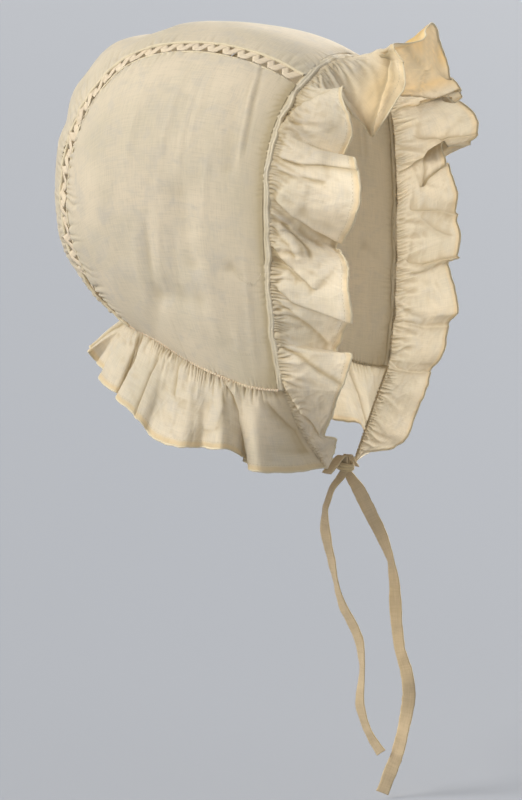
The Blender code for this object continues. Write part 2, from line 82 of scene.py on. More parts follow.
# %% Camera
VIEW_AZIMUTH = math.radians(-60)
VIEW_ELEVATION = math.radians(7.3)
VIEW_DISTANCE = 2200 * MM
VIEW_AIM = Vector((-9.9, -37.4, -213.2)) * MM
FOCAL_LENGTH = 173.25
SENSOR_WIDTH = 36.0
CLIP_END = 120.0

view_direction = Vector(
    (
        math.sin(VIEW_AZIMUTH) * math.cos(VIEW_ELEVATION),
        -math.cos(VIEW_AZIMUTH) * math.cos(VIEW_ELEVATION),
        math.sin(VIEW_ELEVATION),
    )
)
camera_data = bpy.data.cameras.new("camera")
camera_data.lens = FOCAL_LENGTH
camera_data.sensor_width = SENSOR_WIDTH
camera_data.clip_end = CLIP_END
camera = bpy.data.objects.new("camera", camera_data)
camera.location = VIEW_AIM + view_direction * VIEW_DISTANCE
camera.rotation_mode = "QUATERNION"
camera.rotation_quaternion = view_direction.to_track_quat("Z", "Y")
link(camera)
bpy.context.scene.camera = camera
print("camera stands", round(VIEW_DISTANCE, 2), "m from its aim")

# %% [markdown]
# ## The form of the cap
# A cap that a head fills is a rounded, slightly boxy form. It is described by a profile seen from the
# side and a half width, joined by a power a little over 2, which gives soft corners. All the seams
# are lines on this form, so panels, openwork and ruffles meet without fitting. Sizes are in
# millimetres, and the cell ends by printing the form's width beside that of the frame's solids.

# %% Sizes of the form
def node_box(name):
    """Lowest and highest corner of a solid, in millimetres."""
    return [np.array(corner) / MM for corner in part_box(name)]


SHAPE_POWER = 2.4
CENTRE_Y = -5.0
CENTRE_Z = -97.0
BACK_REACH = 94.0
HALF_WIDTH = 82.0
TOP_HEIGHT = -CENTRE_Z
FRONT_REACH_TOP = 122.0
FRONT_REACH_LOW = 150.0
LOW_REACH_FRONT = 170.0
LOW_REACH_BACK = 87.0
# Where a reach starts to change, and over what distance
FRONT_CHANGE = (-20, 90)
LOW_CHANGE = (-90, 125)
LOWEST_ANGLE = -80

NAPE_Z = -171.5
NAPE_DRAW_IN = 11.0
PUFF_SHOULDER = 0.5
PUFF_SEEN = 0.35
PUFF_SLANT = 24.0
PUFF_FADE = 0.6
# Angle at which the draw at the nape starts, and how many degrees it takes
DRAW_IN_ANGLES = (205, 40)

OPENWORK_WIDTH = 9.0
BACK_CORNER_ANGLE = 140.0
BAND_WIDTH = 2.8
RUFFLE_GAP = 1.4
NECK_RUFFLE_GAP = -0.8
NAPE_BOW = 7.0
NAPE_BOW_REACH = 42.0
NECK_SEAM_BACK_Y = 24.0
CHIN = (-17.0, -85.0, -248.5)
CHIN_SAG = (-2.0, 1.6, -1.0)
DIRECTION_STEP = 4.0
CENTRE_INSET = OPENWORK_WIDTH / 2
LEAN_POWER = 1.15

panel_right, panel_left = node_box("side_panel_right"), node_box("side_panel_left")
solids_width = panel_left[1][0] - panel_right[0][0]
print("form", 2 * HALF_WIDTH, "mm wide, solids", round(solids_width, 1), "mm wide")

# %% Tables of the form
# Columns: angle over the crown from the front in degrees, scale of the form's profile
PROFILE_TRIM = [
    (0, 1.0),
    (112, 1.0),
    (132, 0.985),
    (155, 0.99),
    (180, 0.995),
    (200, 0.98),
    (215, 0.96),
    (232, 0.96),
    (250, 1.0),
    (360, 1.0),
]

# Columns: angle over the crown in degrees, lateral place of the middle of an openwork seam, share of
# a width on the cloth that is seen across
SEAM_PATH = [
    (30, 44.0, 0.86),
    (60, 46.0, 0.86),
    (85, 46.5, 0.86),
    (105, 51.0, 0.8),
    (125, 60.0, 0.68),
    (145, 65.0, 0.6),
    (170, 66.0, 0.59),
    (195, 65.0, 0.6),
    (215, 61.0, 0.68),
    (235, 52.0, 0.8),
    (250, 46.5, 0.86),
    (270, 46.0, 0.86),
]

# Columns: angle round the face opening from the level line in degrees, y of the cap's front edge
FRONT_EDGE = [
    (-62, -78.5),
    (-40, -78.0),
    (-10, -77.0),
    (20, -77.0),
    (45, -80.5),
    (62, -84.0),
    (90, -83.5),
]

# Columns: y, z of a side panel's neck edge
NECK_EDGE = [
    (-79, -200.0),
    (-60, -198.5),
    (-44, -194.0),
    (-30, -189.6),
    (-13, -183.0),
    (5, -176.0),
    (26, -171.5),
]

# Columns: angle over the crown in degrees, height of the centre panel's puff above its seams
CENTRE_PUFF = [
    (43, 0.0),
    (62, 0.5),
    (85, 1.0),
    (99, 1.0),
    (106, -0.4),
    (115, 0.6),
    (131, 2.6),
    (145, 1.8),
    (151, -0.4),
    (160, 0.6),
    (178, 0.3),
    (200, 0.0),
    (222, -0.6),
    (245, 0.0),
]

# Columns: y, z of one end, y, z of the other end, rise of the cloth between them, half width
SIDE_CREASES = [
    (-56, -19, -64, -34, 1.4, 5.0),
    (-64, -34, -65, -70, 1.6, 4.5),
    (-56, -40, -57, -75, -1.4, 5.0),
    (-26, -92, -33, -128, -1.8, 8.0),
    (-12, -146, -36, -150, -1.6, 8.0),
    (-38, -118, -50, -168, 1.5, 7.0),
    (-58, -131, -71, -139, -1.6, 4.0),
    (-54, -178, -71, -178, 0.8, 3.0),
    (30, -90, 20, -140, 1.4, 9.0),
    (2, -176, -10, -150, -1.5, 6.0),
]
print(len(SIDE_CREASES), "soft creases on each side panel")

# %% Folds of the ruffles
# Columns: place on the seam from the top centre, then the free edge's reach forward, lean outward
# and slide along the seam. Three rows stand on a line.
FACE_FOLDS = [
    (-289, 3, -4, 4), (-276, 7, -8, -3), (-264, 11, -9, -7),
    (-255, 9, -6, -9), (-240, 19, -9, -7), (-226, 29, -8, -3),
    (-210, 39, -6, 0), (-202, 41, -7, 0), (-194, 27, -17, -10),
    (-184, 33, -16, -8), (-174, 43, -9, -6), (-160, 44, -6, -5),
    (-148, 42, -10, -6), (-139, 38, -14, -9), (-132, 28, -24, -11),
    (-124, 38, -21, -8), (-115, 48, -11, -8), (-104, 53, -6, -9),
    (-94, 50, -6, -7), (-87, 44, -9, -5), (-81, 32, -18, -6),
    (-73, 38, -10, -5), (-63, 41, 2, -9), (-54, 35, 7, -12),
    (-48, 30, 8, -10), (-43, 22, -5, -8), (-37, 23, -16, -11),
    (-29, 30, -26, -17), (-22, 34, -34, -17), (-15, 41, -23, -11),
    (-8, 44, -12, -6), (-2, 42, -3, -8), (4, 33, 8, -12),
    (10, 34, 9, -8), (18, 41, 11, -10), (24, 41, 15, -13),
    (32, 41, 20, -16), (40, 40, 15, -13), (50, 42, 8, -10),
    (60, 43, 4, -10), (69, 46, 3, -9), (75, 41, -7, -17),
    (82, 41, 4, -15), (91, 46, 10, -16), (99, 49, 11, -15),
    (107, 48, 2, -15), (113, 40, -16, -22), (121, 38, -12, -20),
    (129, 38, -7, -19), (140, 43, -7, -18), (150, 44, -13, -16),
    (160, 44, -7, -14), (168, 43, -8, -11), (174, 41, -18, -13),
    (184, 41, -9, -10), (196, 43, -5, -6), (202, 42, -13, -5),
    (214, 40, -12, 1), (224, 38, -18, 6), (236, 34, -10, 8),
    (248, 33, -9, 11), (259, 29, -3, 13), (268, 25, -4, 12),
    (277, 15, -2, 4), (289, 4, -4, -4),
]

# Columns: place on the seam from the nape, then the free edge's lean outward, drop and slide
NECK_FOLDS = [
    (-160, -43, 49, -15), (-156, -32, 49, -12), (-152, -20, 49, -10),
    (-148, -6, 48, -8), (-144, 4, 47, -6), (-139, -4, 45, 0),
    (-136, -1, 41, -2), (-130, 11, 38, -6), (-125, 18, 38, -9),
    (-119, 10, 41, 0), (-112, 16, 43, -4), (-105, 22, 45, -7),
    (-98, 21, 46, 1), (-90, 18, 45, 4), (-82, 20, 43, 0),
    (-74, 22, 39, -3), (-66, 20, 36, 2), (-62, 10, 35, 6),
    (-57, 13, 36, -4), (-51, 18, 34, -4), (-46, 17, 31, 4),
    (-41, 17, 29, 8), (-34, 26, 26, 0), (-27, 31, 20, -4),
    (-18, 33, 17, -3), (-8, 32, 18, -2), (2, 29, 23, 2),
    (10, 34, 26, 5), (18, 25, 30, 8), (26, 31, 29, 10),
    (35, 20, 34, 10), (44, 25, 35, 12), (54, 13, 39, 10),
    (63, 22, 40, 10), (72, 12, 44, 8), (82, 22, 44, 9),
    (92, 11, 46, 7), (102, 20, 45, 8), (113, 9, 45, 6),
    (124, 17, 44, 8), (134, 4, 44, 8), (144, 4, 46, 7),
    (149, -6, 48, 8), (154, -22, 49, 10), (160, -43, 49, 15),
]
print(len(FACE_FOLDS), "rows of folds at the face,", len(NECK_FOLDS), "at the neck")

# %% Routes of the ties
# Columns: x, y, z on the tape's centre line, compass angle of its width in degrees, width
# The left tape up to the knot. The right one mirrors it.
TIE_TOP = [
    (16.6, -84.0, -251.2, 90, 6.0),
    (12.0, -84.6, -248.6, 90, 6.5),
    (7.0, -85.8, -244.6, 90, 6.0),
    (3.4, -86.8, -242.7, 90, 5.2),
    (1.5, -87.0, -243.8, 90, 4.4),
    (1.0, -87.0, -246.0, 90, 4.4),
    (1.0, -87.0, -250.8, 90, 4.4),
]
TIE_RIGHT = [(-x, *rest) for x, *rest in TIE_TOP] + [
    (-2.5, -86.0, -254.5, 78, 5.6),
    (-6.0, -81.5, -262.0, 60, 6.5),
    (-8.0, -78.5, -274.0, 50, 7.5),
    (-7.5, -78.5, -287.0, 76, 7.5),
    (-5.0, -81.0, -304.0, 62, 7.5),
    (-3.5, -83.0, -316.0, 50, 7.5),
    (-1.0, -87.0, -331.0, 72, 7.5),
    (2.0, -92.0, -342.0, 78, 7.5),
    (3.5, -95.0, -352.0, 64, 7.5),
    (4.0, -96.0, -366.0, 50, 7.5),
    (3.5, -95.5, -378.0, 58, 7.5),
    (3.5, -95.5, -388.0, 70, 7.5),
    (5.0, -98.0, -399.0, 66, 7.5),
    (6.5, -102.5, -408.0, 74, 7.5),
    (7.5, -107.0, -414.5, 84, 7.5),
]
TIE_LEFT = TIE_TOP + [
    (2.4, -88.4, -254.6, 100, 5.6),
    (5.5, -93.0, -263.0, 112, 7.5),
    (8.0, -99.0, -276.0, 118, 7.5),
    (10.5, -105.0, -289.0, 96, 7.5),
    (12.0, -109.5, -301.5, 62, 7.5),
    (12.5, -112.0, -313.0, 74, 7.5),
    (12.5, -113.0, -327.0, 92, 7.5),
    (12.5, -114.0, -340.0, 84, 7.5),
    (12.5, -116.0, -354.0, 80, 7.5),
    (13.5, -119.5, -366.0, 94, 7.5),
    (14.5, -121.0, -378.0, 116, 7.5),
    (14.0, -120.0, -390.0, 104, 7.5),
    (13.0, -118.0, -402.0, 86, 7.5),
    (12.0, -115.0, -415.0, 96, 7.5),
    (9.5, -112.0, -425.0, 112, 7.5),
    (6.0, -108.5, -437.5, 120, 7.5),
]
print("the tapes end at heights of", TIE_RIGHT[-1][2], "and", TIE_LEFT[-1][2], "mm")

# %% Curves and small helpers
BISECT_STEPS = 48


def curve(rows, x, column=1):
    """Smooth curve through one column of a table, read at x in the first column."""
    xs = np.array([row[0] for row in rows], float)
    ys = np.array([row[column] for row in rows], float)
    secant = np.diff(ys) / np.diff(xs)
    slope = np.concatenate([secant[:1], (ys[2:] - ys[:-2]) / (xs[2:] - xs[:-2]), secant[-1:]])
    i = np.clip(np.searchsorted(xs, x, side="right") - 1, 0, len(xs) - 2)
    step = xs[i + 1] - xs[i]
    t = np.clip((x - xs[i]) / step, 0.0, 1.0)
    start = (1 + 2 * t) * (1 - t) ** 2 * ys[i] + t * (1 - t) ** 2 * step * slope[i]
    end = t * t * (3 - 2 * t) * ys[i + 1] + t * t * (t - 1) * step * slope[i + 1]
    return start + end


def ease(t):
    """Smooth step from 0 to 1."""
    t = np.clip(t, 0.0, 1.0)
    return t * t * (3 - 2 * t)


def bell(distance, width):
    """1 at no distance, falling away smoothly over a width."""
    return np.exp(-((distance / width) ** 2))


def unit(vectors):
    """Vectors scaled to a length of 1."""
    return vectors / np.linalg.norm(vectors, axis=-1, keepdims=True)


def lengths(points):
    """Length along a line of points up to each point."""
    steps = np.linalg.norm(np.diff(points, axis=0), axis=1)
    return np.concatenate([[0.0], np.cumsum(steps)])


def directions(line):
    """Unit directions along a line of points."""
    return unit(np.gradient(line, axis=0))


def grid(columns, rows, low=0.0):
    """Shares along a grid's columns, from 0 to 1, and along its rows, from low to 1."""
    return np.broadcast_arrays(np.linspace(0, 1, columns + 1), np.linspace(low, 1, rows + 1)[:, None])


def bisect(above, low, high):
    """Values between low and high where above() turns from true to false."""
    low = np.asarray(low, float)
    high = np.asarray(high, float)
    for _ in range(BISECT_STEPS):
        middle = (low + high) / 2
        test = above(middle)
        low = np.where(test, middle, low)
        high = np.where(test, high, middle)
    return low


print("a smooth step at a quarter of its way:", float(ease(0.25)))


# %% The rounded form
SEARCH_REACH = 260.0


def room(y, z):
    """What the form's profile leaves for its width at (y, z): 1 on the axis, 0 at the profile."""
    front_share = ease((FRONT_CHANGE[0] - z) / FRONT_CHANGE[1])
    front = FRONT_REACH_TOP + (FRONT_REACH_LOW - FRONT_REACH_TOP) * front_share
    reach_y = np.where(y < CENTRE_Y, front, BACK_REACH)
    low_share = ease((y - LOW_CHANGE[0]) / LOW_CHANGE[1])
    low = LOW_REACH_FRONT + (LOW_REACH_BACK - LOW_REACH_FRONT) * low_share
    reach_z = np.where(z > CENTRE_Z, TOP_HEIGHT, low)
    angle = np.degrees(np.arctan2(z - CENTRE_Z, CENTRE_Y - y))
    angle = np.where(angle < LOWEST_ANGLE, angle + 360, angle)
    trim = curve(PROFILE_TRIM, np.maximum(angle, 0))
    across = np.abs((y - CENTRE_Y) / reach_y) ** SHAPE_POWER
    upright = np.abs((z - CENTRE_Z) / reach_z) ** SHAPE_POWER
    return 1 - (across + upright) / trim**SHAPE_POWER


def side_x(y, z):
    """Half width of the form at (y, z)."""
    return HALF_WIDTH * np.clip(room(y, z), 0, 1) ** (1 / SHAPE_POWER)


def over(x, angle):
    """(y, z) of the form at lateral place x, turned by angle from the front over the crown."""
    x, angle = np.broadcast_arrays(np.asarray(x, float), np.asarray(angle, float))
    dy = -np.cos(np.radians(angle))
    dz = np.sin(np.radians(angle))
    need = np.abs(x / HALF_WIDTH) ** SHAPE_POWER
    reach = bisect(
        lambda r: room(CENTRE_Y + r * dy, CENTRE_Z + r * dz) > need,
        np.zeros(x.shape),
        np.full(x.shape, SEARCH_REACH),
    )
    return CENTRE_Y + reach * dy, CENTRE_Z + reach * dz


def front_edge(theta, forward=0.0):
    """Points of the cap's front edge, at angles round the face opening, moved forward on the form."""
    theta = np.asarray(theta, float)
    y = curve(FRONT_EDGE, np.where(theta > 90, 180 - theta, theta)) - forward
    dx = -np.cos(np.radians(theta))
    dz = np.sin(np.radians(theta))
    reach = bisect(
        lambda r: room(y, CENTRE_Z + r * dz) > np.abs(r * dx / HALF_WIDTH) ** SHAPE_POWER,
        np.zeros(theta.shape),
        np.full(theta.shape, SEARCH_REACH),
    )
    return np.stack([reach * dx, y, CENTRE_Z + reach * dz], -1)


def neck_z(y):
    """Height of a side panel's neck edge."""
    return curve(NECK_EDGE, y)


def profile_angle(y, z):
    """Angle over the crown of a place in (y, z), 0 to 360 degrees from the front."""
    return np.degrees(np.arctan2(z - CENTRE_Z, CENTRE_Y - y)) % 360


def seam_x(angle, inset=0.0):
    """Lateral place of an openwork seam, or of a line that lies inset towards the middle."""
    return curve(SEAM_PATH, angle) - inset * curve(SEAM_PATH, angle, 2)


# %% Lines over the crown
LINE_SAMPLES = 240
FRONT_SEARCH = (20.0, 85.0)
NAPE_SEARCH = (200.0, 268.0)


def strip_ends(place, share):
    """Angles over the crown at which a line on the form meets the front edge and the nape.

    place(angle) is the line's lateral place, for an array of the same shape as share.
    """

    def before_front(angle):
        x = place(angle)
        y, z = over(x, angle)
        theta = np.degrees(np.arctan2(z - CENTRE_Z, np.abs(x)))
        return y < curve(FRONT_EDGE, theta)

    shape = np.shape(share)
    front = bisect(before_front, *(np.full(shape, limit) for limit in FRONT_SEARCH))
    nape = bisect(
        lambda angle: over(place(angle), angle)[1] > NAPE_Z,
        *(np.full(shape, limit) for limit in NAPE_SEARCH),
    )
    return front, nape


def strip_point(place, along):
    """Points and angles of a line on the form, along from 0 at the front edge to 1 at the nape."""
    start, end = strip_ends(seam_x, 0.0)
    samples = np.linspace(float(start), float(end), LINE_SAMPLES)
    seam = np.stack([seam_x(samples), *over(seam_x(samples), samples)], -1)
    done = lengths(seam)
    even = (np.interp(along * done[-1], done, samples) - start) / (end - start)
    front, nape = strip_ends(place, along)
    angle = front + (nape - front) * even
    x = place(angle)
    y, z = over(x, angle)
    return x, y, z, angle


def centre_point(share, along):
    """Points of the centre panel, puffed between its seams and drawn in at the nape."""
    x, y, z, angle = strip_point(lambda angle: share * seam_x(angle, CENTRE_INSET), along)
    middle = ease((1 - np.abs(share)) / PUFF_SHOULDER)
    aslant = angle + PUFF_SLANT * np.clip(share + PUFF_SEEN, 0, 1)
    puff = curve(CENTRE_PUFF, aslant) * middle * (1 - PUFF_FADE * ease(share + PUFF_SEEN))
    draw = NAPE_DRAW_IN * ease((angle - DRAW_IN_ANGLES[0]) / DRAW_IN_ANGLES[1]) * middle
    y = y - np.cos(np.radians(angle)) * puff - draw
    z = z + np.sin(np.radians(angle)) * puff
    return np.stack([x, y, z], -1)


# %% Edges of a side panel
CORNER_SEARCH = (-66.0, -40.0)
TOP_SEARCH = (0.0, 88.0)
HEEL_SEARCH = (-20.0, 40.0)


def corner_angle():
    """Angle round the face opening of the cap's front lower corner."""

    def below(theta):
        point = front_edge(theta)
        return point[..., 2] < neck_z(point[..., 1])

    return float(bisect(below, *CORNER_SEARCH))


def side_limit(y, z):
    """Lateral place of a side panel's edge along the openwork, at a place in (y, z)."""
    return seam_x(profile_angle(y, z), -CENTRE_INSET)


def side_outline(along, up):
    """The four edges of a side panel in (y, z): neck, seam top, front and seam back."""
    low = corner_angle()

    def below_seam(theta):
        x, y, z = np.moveaxis(front_edge(theta), -1, 0)
        return np.abs(x) > side_limit(y, z)

    top = float(bisect(below_seam, *TOP_SEARCH))
    heel = float(bisect(lambda y: side_x(y, neck_z(y)) > side_limit(y, neck_z(y)), *HEEL_SEARCH))
    neck_y = front_edge(low)[1] + (heel - front_edge(low)[1]) * along
    neck = np.stack([neck_y, neck_z(neck_y)], -1)
    front = front_edge(low + (top - low) * up)[..., 1:]

    def on_seam(start, share):
        angle = start + (BACK_CORNER_ANGLE - start) * share
        return np.stack(over(seam_x(angle, -CENTRE_INSET), angle), -1)

    seam_top = on_seam(profile_angle(*front_edge(top)[1:]), along)
    seam_back = on_seam(profile_angle(heel, neck_z(heel)), up)
    return neck, seam_top, front, seam_back


# %% Surface of a side panel
def creases(table, y, z, end_share=1.0):
    """Height of a table's creases at places in (y, z), lowered to end_share at their ends."""
    height = np.zeros(np.shape(y))
    for y1, z1, y2, z2, rise, half_width in table:
        step = np.array([y2 - y1, z2 - z1], float)
        part = np.clip(((y - y1) * step[0] + (z - z1) * step[1]) / (step @ step), 0, 1)
        away = np.hypot(y - y1 - part * step[0], z - z1 - part * step[1])
        full = end_share + (1 - end_share) * np.sin(np.pi * part)
        height = height + rise * bell(away, half_width) * full
    return height


def side_point(along, up, side):
    """Points of a side panel: a patch between its four edges, laid on the form."""
    neck, seam_top, front, seam_back = side_outline(along, up)
    ends = side_outline(np.array([0.0, 1.0]), np.array([0.0, 1.0]))
    s = along[..., None]
    t = up[..., None]
    edges = (1 - t) * neck + t * seam_top + (1 - s) * front + s * seam_back
    corners = (1 - s) * (1 - t) * ends[0][0] + s * (1 - t) * ends[0][1]
    corners = corners + (1 - s) * t * ends[1][0] + s * t * ends[1][1]
    y, z = np.moveaxis(edges - corners, -1, 0)
    inside = 16 * along * (1 - along) * up * (1 - up)
    rise = creases(SIDE_CREASES, y, z) * ease(inside * 1.5)
    x = np.maximum(side_x(y, z), side_limit(y, z)) + rise
    return np.stack([side * x, y, z], -1)


print("front lower corner at", round(corner_angle(), 1), "degrees below the level line")


# %% Seams of the ruffles
ARCH_STEPS = 500
CHIN_STEPS = 50
NECK_STEPS = 160
NAPE_STEPS = 60


def face_seam():
    """Line of the face ruffle's seam, from the right chin end over the crown to the left one."""
    corner = corner_angle()
    theta = np.linspace(corner, 180 - corner, ARCH_STEPS)
    arch = front_edge(theta, BAND_WIDTH + RUFFLE_GAP)
    t = np.linspace(0, 1, CHIN_STEPS)[:, None]
    sag = np.array(CHIN_SAG) * np.sin(np.pi * t)
    right = np.array(CHIN) * (1 - t) + arch[0] * t + sag
    left = right[::-1] * np.array([-1, 1, 1])
    return np.concatenate([right[:-1], arch, left[1:]])


def neck_seam():
    """Line of the neck ruffle's seam, from the right front corner round the nape to the left one."""
    start = front_edge(corner_angle())[1]
    y = np.linspace(start, NECK_SEAM_BACK_Y, NECK_STEPS)
    right = np.stack([-side_x(y, neck_z(y)), y, neck_z(y)], -1)
    nape = centre_point(np.linspace(-1, 1, NAPE_STEPS), np.ones(NAPE_STEPS))
    left = right[::-1] * np.array([-1, 1, 1])
    past = np.abs(nape[0, 0]) + OPENWORK_WIDTH
    line = np.concatenate([right[right[:, 0] < -past], nape, left[left[:, 0] > past]])
    return line - np.array([0, 0, NECK_RUFFLE_GAP])


def read_line(line, places):
    """Points and directions of a line at places measured along it from its middle."""
    done = lengths(line)
    done = done - done[-1] / 2

    def at(offset):
        return np.stack([np.interp(places + offset, done, line[:, k]) for k in range(3)], -1)

    return at(0.0), at(DIRECTION_STEP) - at(-DIRECTION_STEP)


seam_lengths = [round(lengths(line)[-1]) for line in (face_seam(), neck_seam())]
print("ruffle seams in millimetres:", seam_lengths)


# %% [markdown]
# ## Cloth surfaces
# Each panel and ruffle is a grid of points, because cloth is woven as a grid: one direction of the
# grid is the warp and the other the weft. Small folds are added along the surface's own normals, and
# the grid's lengths become a UV map, so the weave has one size on every piece and follows each fold.

# %% Smooth noise, normals and softening on a grid
LATTICE = 97
HEAD_MIDDLE = np.array([0.0, CENTRE_Y - 20, CENTRE_Z - 10])


def noise_map(u, v, seed):
    """Smooth noise from -1 to 1 with one bump in each unit of u and v."""
    lattice = np.random.default_rng(seed).uniform(-1, 1, (LATTICE, LATTICE))
    u, v = np.broadcast_arrays(np.asarray(u, float), np.asarray(v, float))
    i = np.floor(u).astype(int)
    j = np.floor(v).astype(int)
    s = ease(u - i)
    t = ease(v - j)

    def blend(row):
        row = row % LATTICE
        return lattice[i % LATTICE, row] * (1 - s) + lattice[(i + 1) % LATTICE, row] * s

    return blend(j) * (1 - t) + blend(j + 1) * t


def grid_normals(points):
    """Unit normals of a grid of points, across its columns and then its rows."""
    normal = np.cross(np.gradient(points, axis=1), np.gradient(points, axis=0))
    return normal / np.maximum(np.linalg.norm(normal, axis=-1, keepdims=True), 1e-9)


def soften(values, passes):
    """Values on a grid, each averaged with its neighbours again and again."""
    for _ in range(passes):
        for axis in (0, 1):
            edge = [(1, 1) if k == axis else (0, 0) for k in range(values.ndim)]
            wide = np.pad(values, edge, mode="edge")
            first = np.take(wide, range(0, values.shape[axis]), axis)
            last = np.take(wide, range(2, values.shape[axis] + 2), axis)
            values = (first + 2 * values + last) / 4
    return values


def away_from_head(points):
    """Directions from the middle of the head to each point."""
    return points - HEAD_MIDDLE


def outward_normals(points):
    """Unit normals of a grid, turned as a whole to face away from the head."""
    normal = grid_normals(points)
    return normal * np.sign(np.sum(normal * away_from_head(points), axis=-1).mean())


def hollowness(points, normals, passes, depth):
    """How far each point lies under its softened surroundings, 1 at the given depth."""
    under = np.sum((soften(points, passes) - points) * normals, axis=-1)
    return np.clip(under / depth, 0, 1)


# %% Make a cloth from a grid
CLOTH_WALL = 0.35


def add_wall(piece, thickness):
    """Thickness of a sheet, in millimetres, half of it to each side."""
    solid = piece.modifiers.new("wall", "SOLIDIFY")
    solid.thickness = thickness * MM
    solid.offset = 0.0


def cloth(name, points, shade_and_tone=None, wall=CLOTH_WALL, outward=None, hem=None):
    """A closed sheet from a grid of points in millimetres, with its UV map and attributes.

    The UV map, "weave", holds lengths on the cloth in metres. The shade attribute holds painted shade,
    0 on open cloth and 1 deep in a crease or under an edge; on the tapes it also darkens the
    selvedges.
    "hem" is 1 where the cloth is doubled.
    """
    rows, columns = points.shape[:2]
    number = np.arange(rows * columns).reshape(rows, columns)
    corners = (number[:-1, :-1], number[:-1, 1:], number[1:, 1:], number[1:, :-1])
    quads = np.stack(corners, -1).reshape(-1, 4)
    if outward is not None:
        facing = np.sum(grid_normals(points) * outward(points), axis=-1)
        if facing.mean() < 0:
            quads = quads[:, ::-1]
    mesh = bpy.data.meshes.new(name)
    mesh.from_pydata((points.reshape(-1, 3) * MM).tolist(), [], quads.tolist())
    along = np.linalg.norm(np.diff(points, axis=1), axis=-1).mean(0)
    across = np.linalg.norm(np.diff(points, axis=0), axis=-1).mean(1)
    u = np.concatenate([[0], np.cumsum(along)]) * MM
    v = np.concatenate([[0], np.cumsum(across)]) * MM
    places = np.stack(np.meshgrid(u, v), -1).reshape(-1, 2)
    weave = mesh.uv_layers.new(name="weave")
    weave.uv.foreach_set("vector", places[quads.ravel()].ravel().astype(np.float32))
    for label, values in (("shade_and_tone", shade_and_tone), ("hem", hem)):
        values = np.zeros((rows, columns)) if values is None else values
        values = np.broadcast_to(values, (rows, columns)).ravel().astype(np.float32)
        mesh.attributes.new(label, "FLOAT", "POINT").data.foreach_set("value", values)
    mesh.shade_smooth()
    piece = link(bpy.data.objects.new(name, mesh))
    if wall:
        add_wall(piece, wall)
    print(name, len(quads), "faces,", round(u[-1] * 1000), "x", round(v[-1] * 1000), "mm")
    return piece


def finish(piece, material, nodes=()):
    """Give a piece its material and tie it to the frame."""
    piece.data.materials.clear()
    piece.data.materials.append(material)
    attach(piece, "root")
    if nodes:
        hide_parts(*nodes)


# %% [markdown]
# ## Old cotton
# Hand-spun muslin is never even. Single threads are thicker for a finger's length, which shows as
# faint crossing lines. Folds, hollows and the cloth under an edge get painted shade in a deeper
# yellow-brown, and doubled cloth is a little yellower. Thin cotton also passes a little light, so a
# part of the shader is translucent. The slubs, threads and bumps are read on the cloth's own UV map,
# so they follow the folds; the stains and mottling are read in each piece's own space.

# %% Node helper
def put(tree, kind, settings=None, inputs=None):
    """Add a node. An input is a value, or another node's output that gets linked to it."""
    made = tree.nodes.new(kind)
    for name, value in (settings or {}).items():
        setattr(made, name, value)
    for name, value in (inputs or {}).items():
        if isinstance(value, bpy.types.NodeSocket):
            tree.links.new(value, made.inputs[name])
        else:
            made.inputs[name].default_value = value
    return made


def mix_colour(tree, share, first, second):
    """Blend two colours by a share from 0 to 1."""
    made = put(tree, "ShaderNodeMix", {"data_type": "RGBA"}, {0: share})
    for index, value in ((6, first), (7, second)):
        if isinstance(value, bpy.types.NodeSocket):
            tree.links.new(value, made.inputs[index])
        else:
            made.inputs[index].default_value = (*value, 1.0)
    return made.outputs[2]


def calculate(tree, operation, first, second=0.0):
    """One step of arithmetic on two values or outputs."""
    made = put(tree, "ShaderNodeMath", {"operation": operation}, {0: first, 1: second})
    return made.outputs[0]


def spread(tree, value, low, high):
    """Spread the part of a value between low and high over 0 to 1."""
    made = put(tree, "ShaderNodeMapRange", None, {"Value": value, "From Min": low, "From Max": high})
    return made.outputs["Result"]


# %% Cotton
THREAD_PITCH = 0.55
SLUB_WIDTH = 0.7
SLUB_LENGTH = 11.0
STAIN_SIZE = 38.0
MOTTLE_SIZE = 13.0
MOTTLE_SHARE = 0.75
MOTTLE_TINT = (0.93, 0.95, 1.04)
THICK_SLUB = 1.07
THIN_SLUB = 0.82
GRAIN_SHARE = 0.25
BUMP_DEPTH = 0.2
PASSED_LIGHT = (0.96, 0.92, 0.83)
PASSED_SHARE = 0.68
SHADER_VALUES = {
    "Roughness": 0.88,
    "Sheen Weight": 0.15,
    "Sheen Roughness": 0.5,
    "Specular IOR Level": 0.2,
}


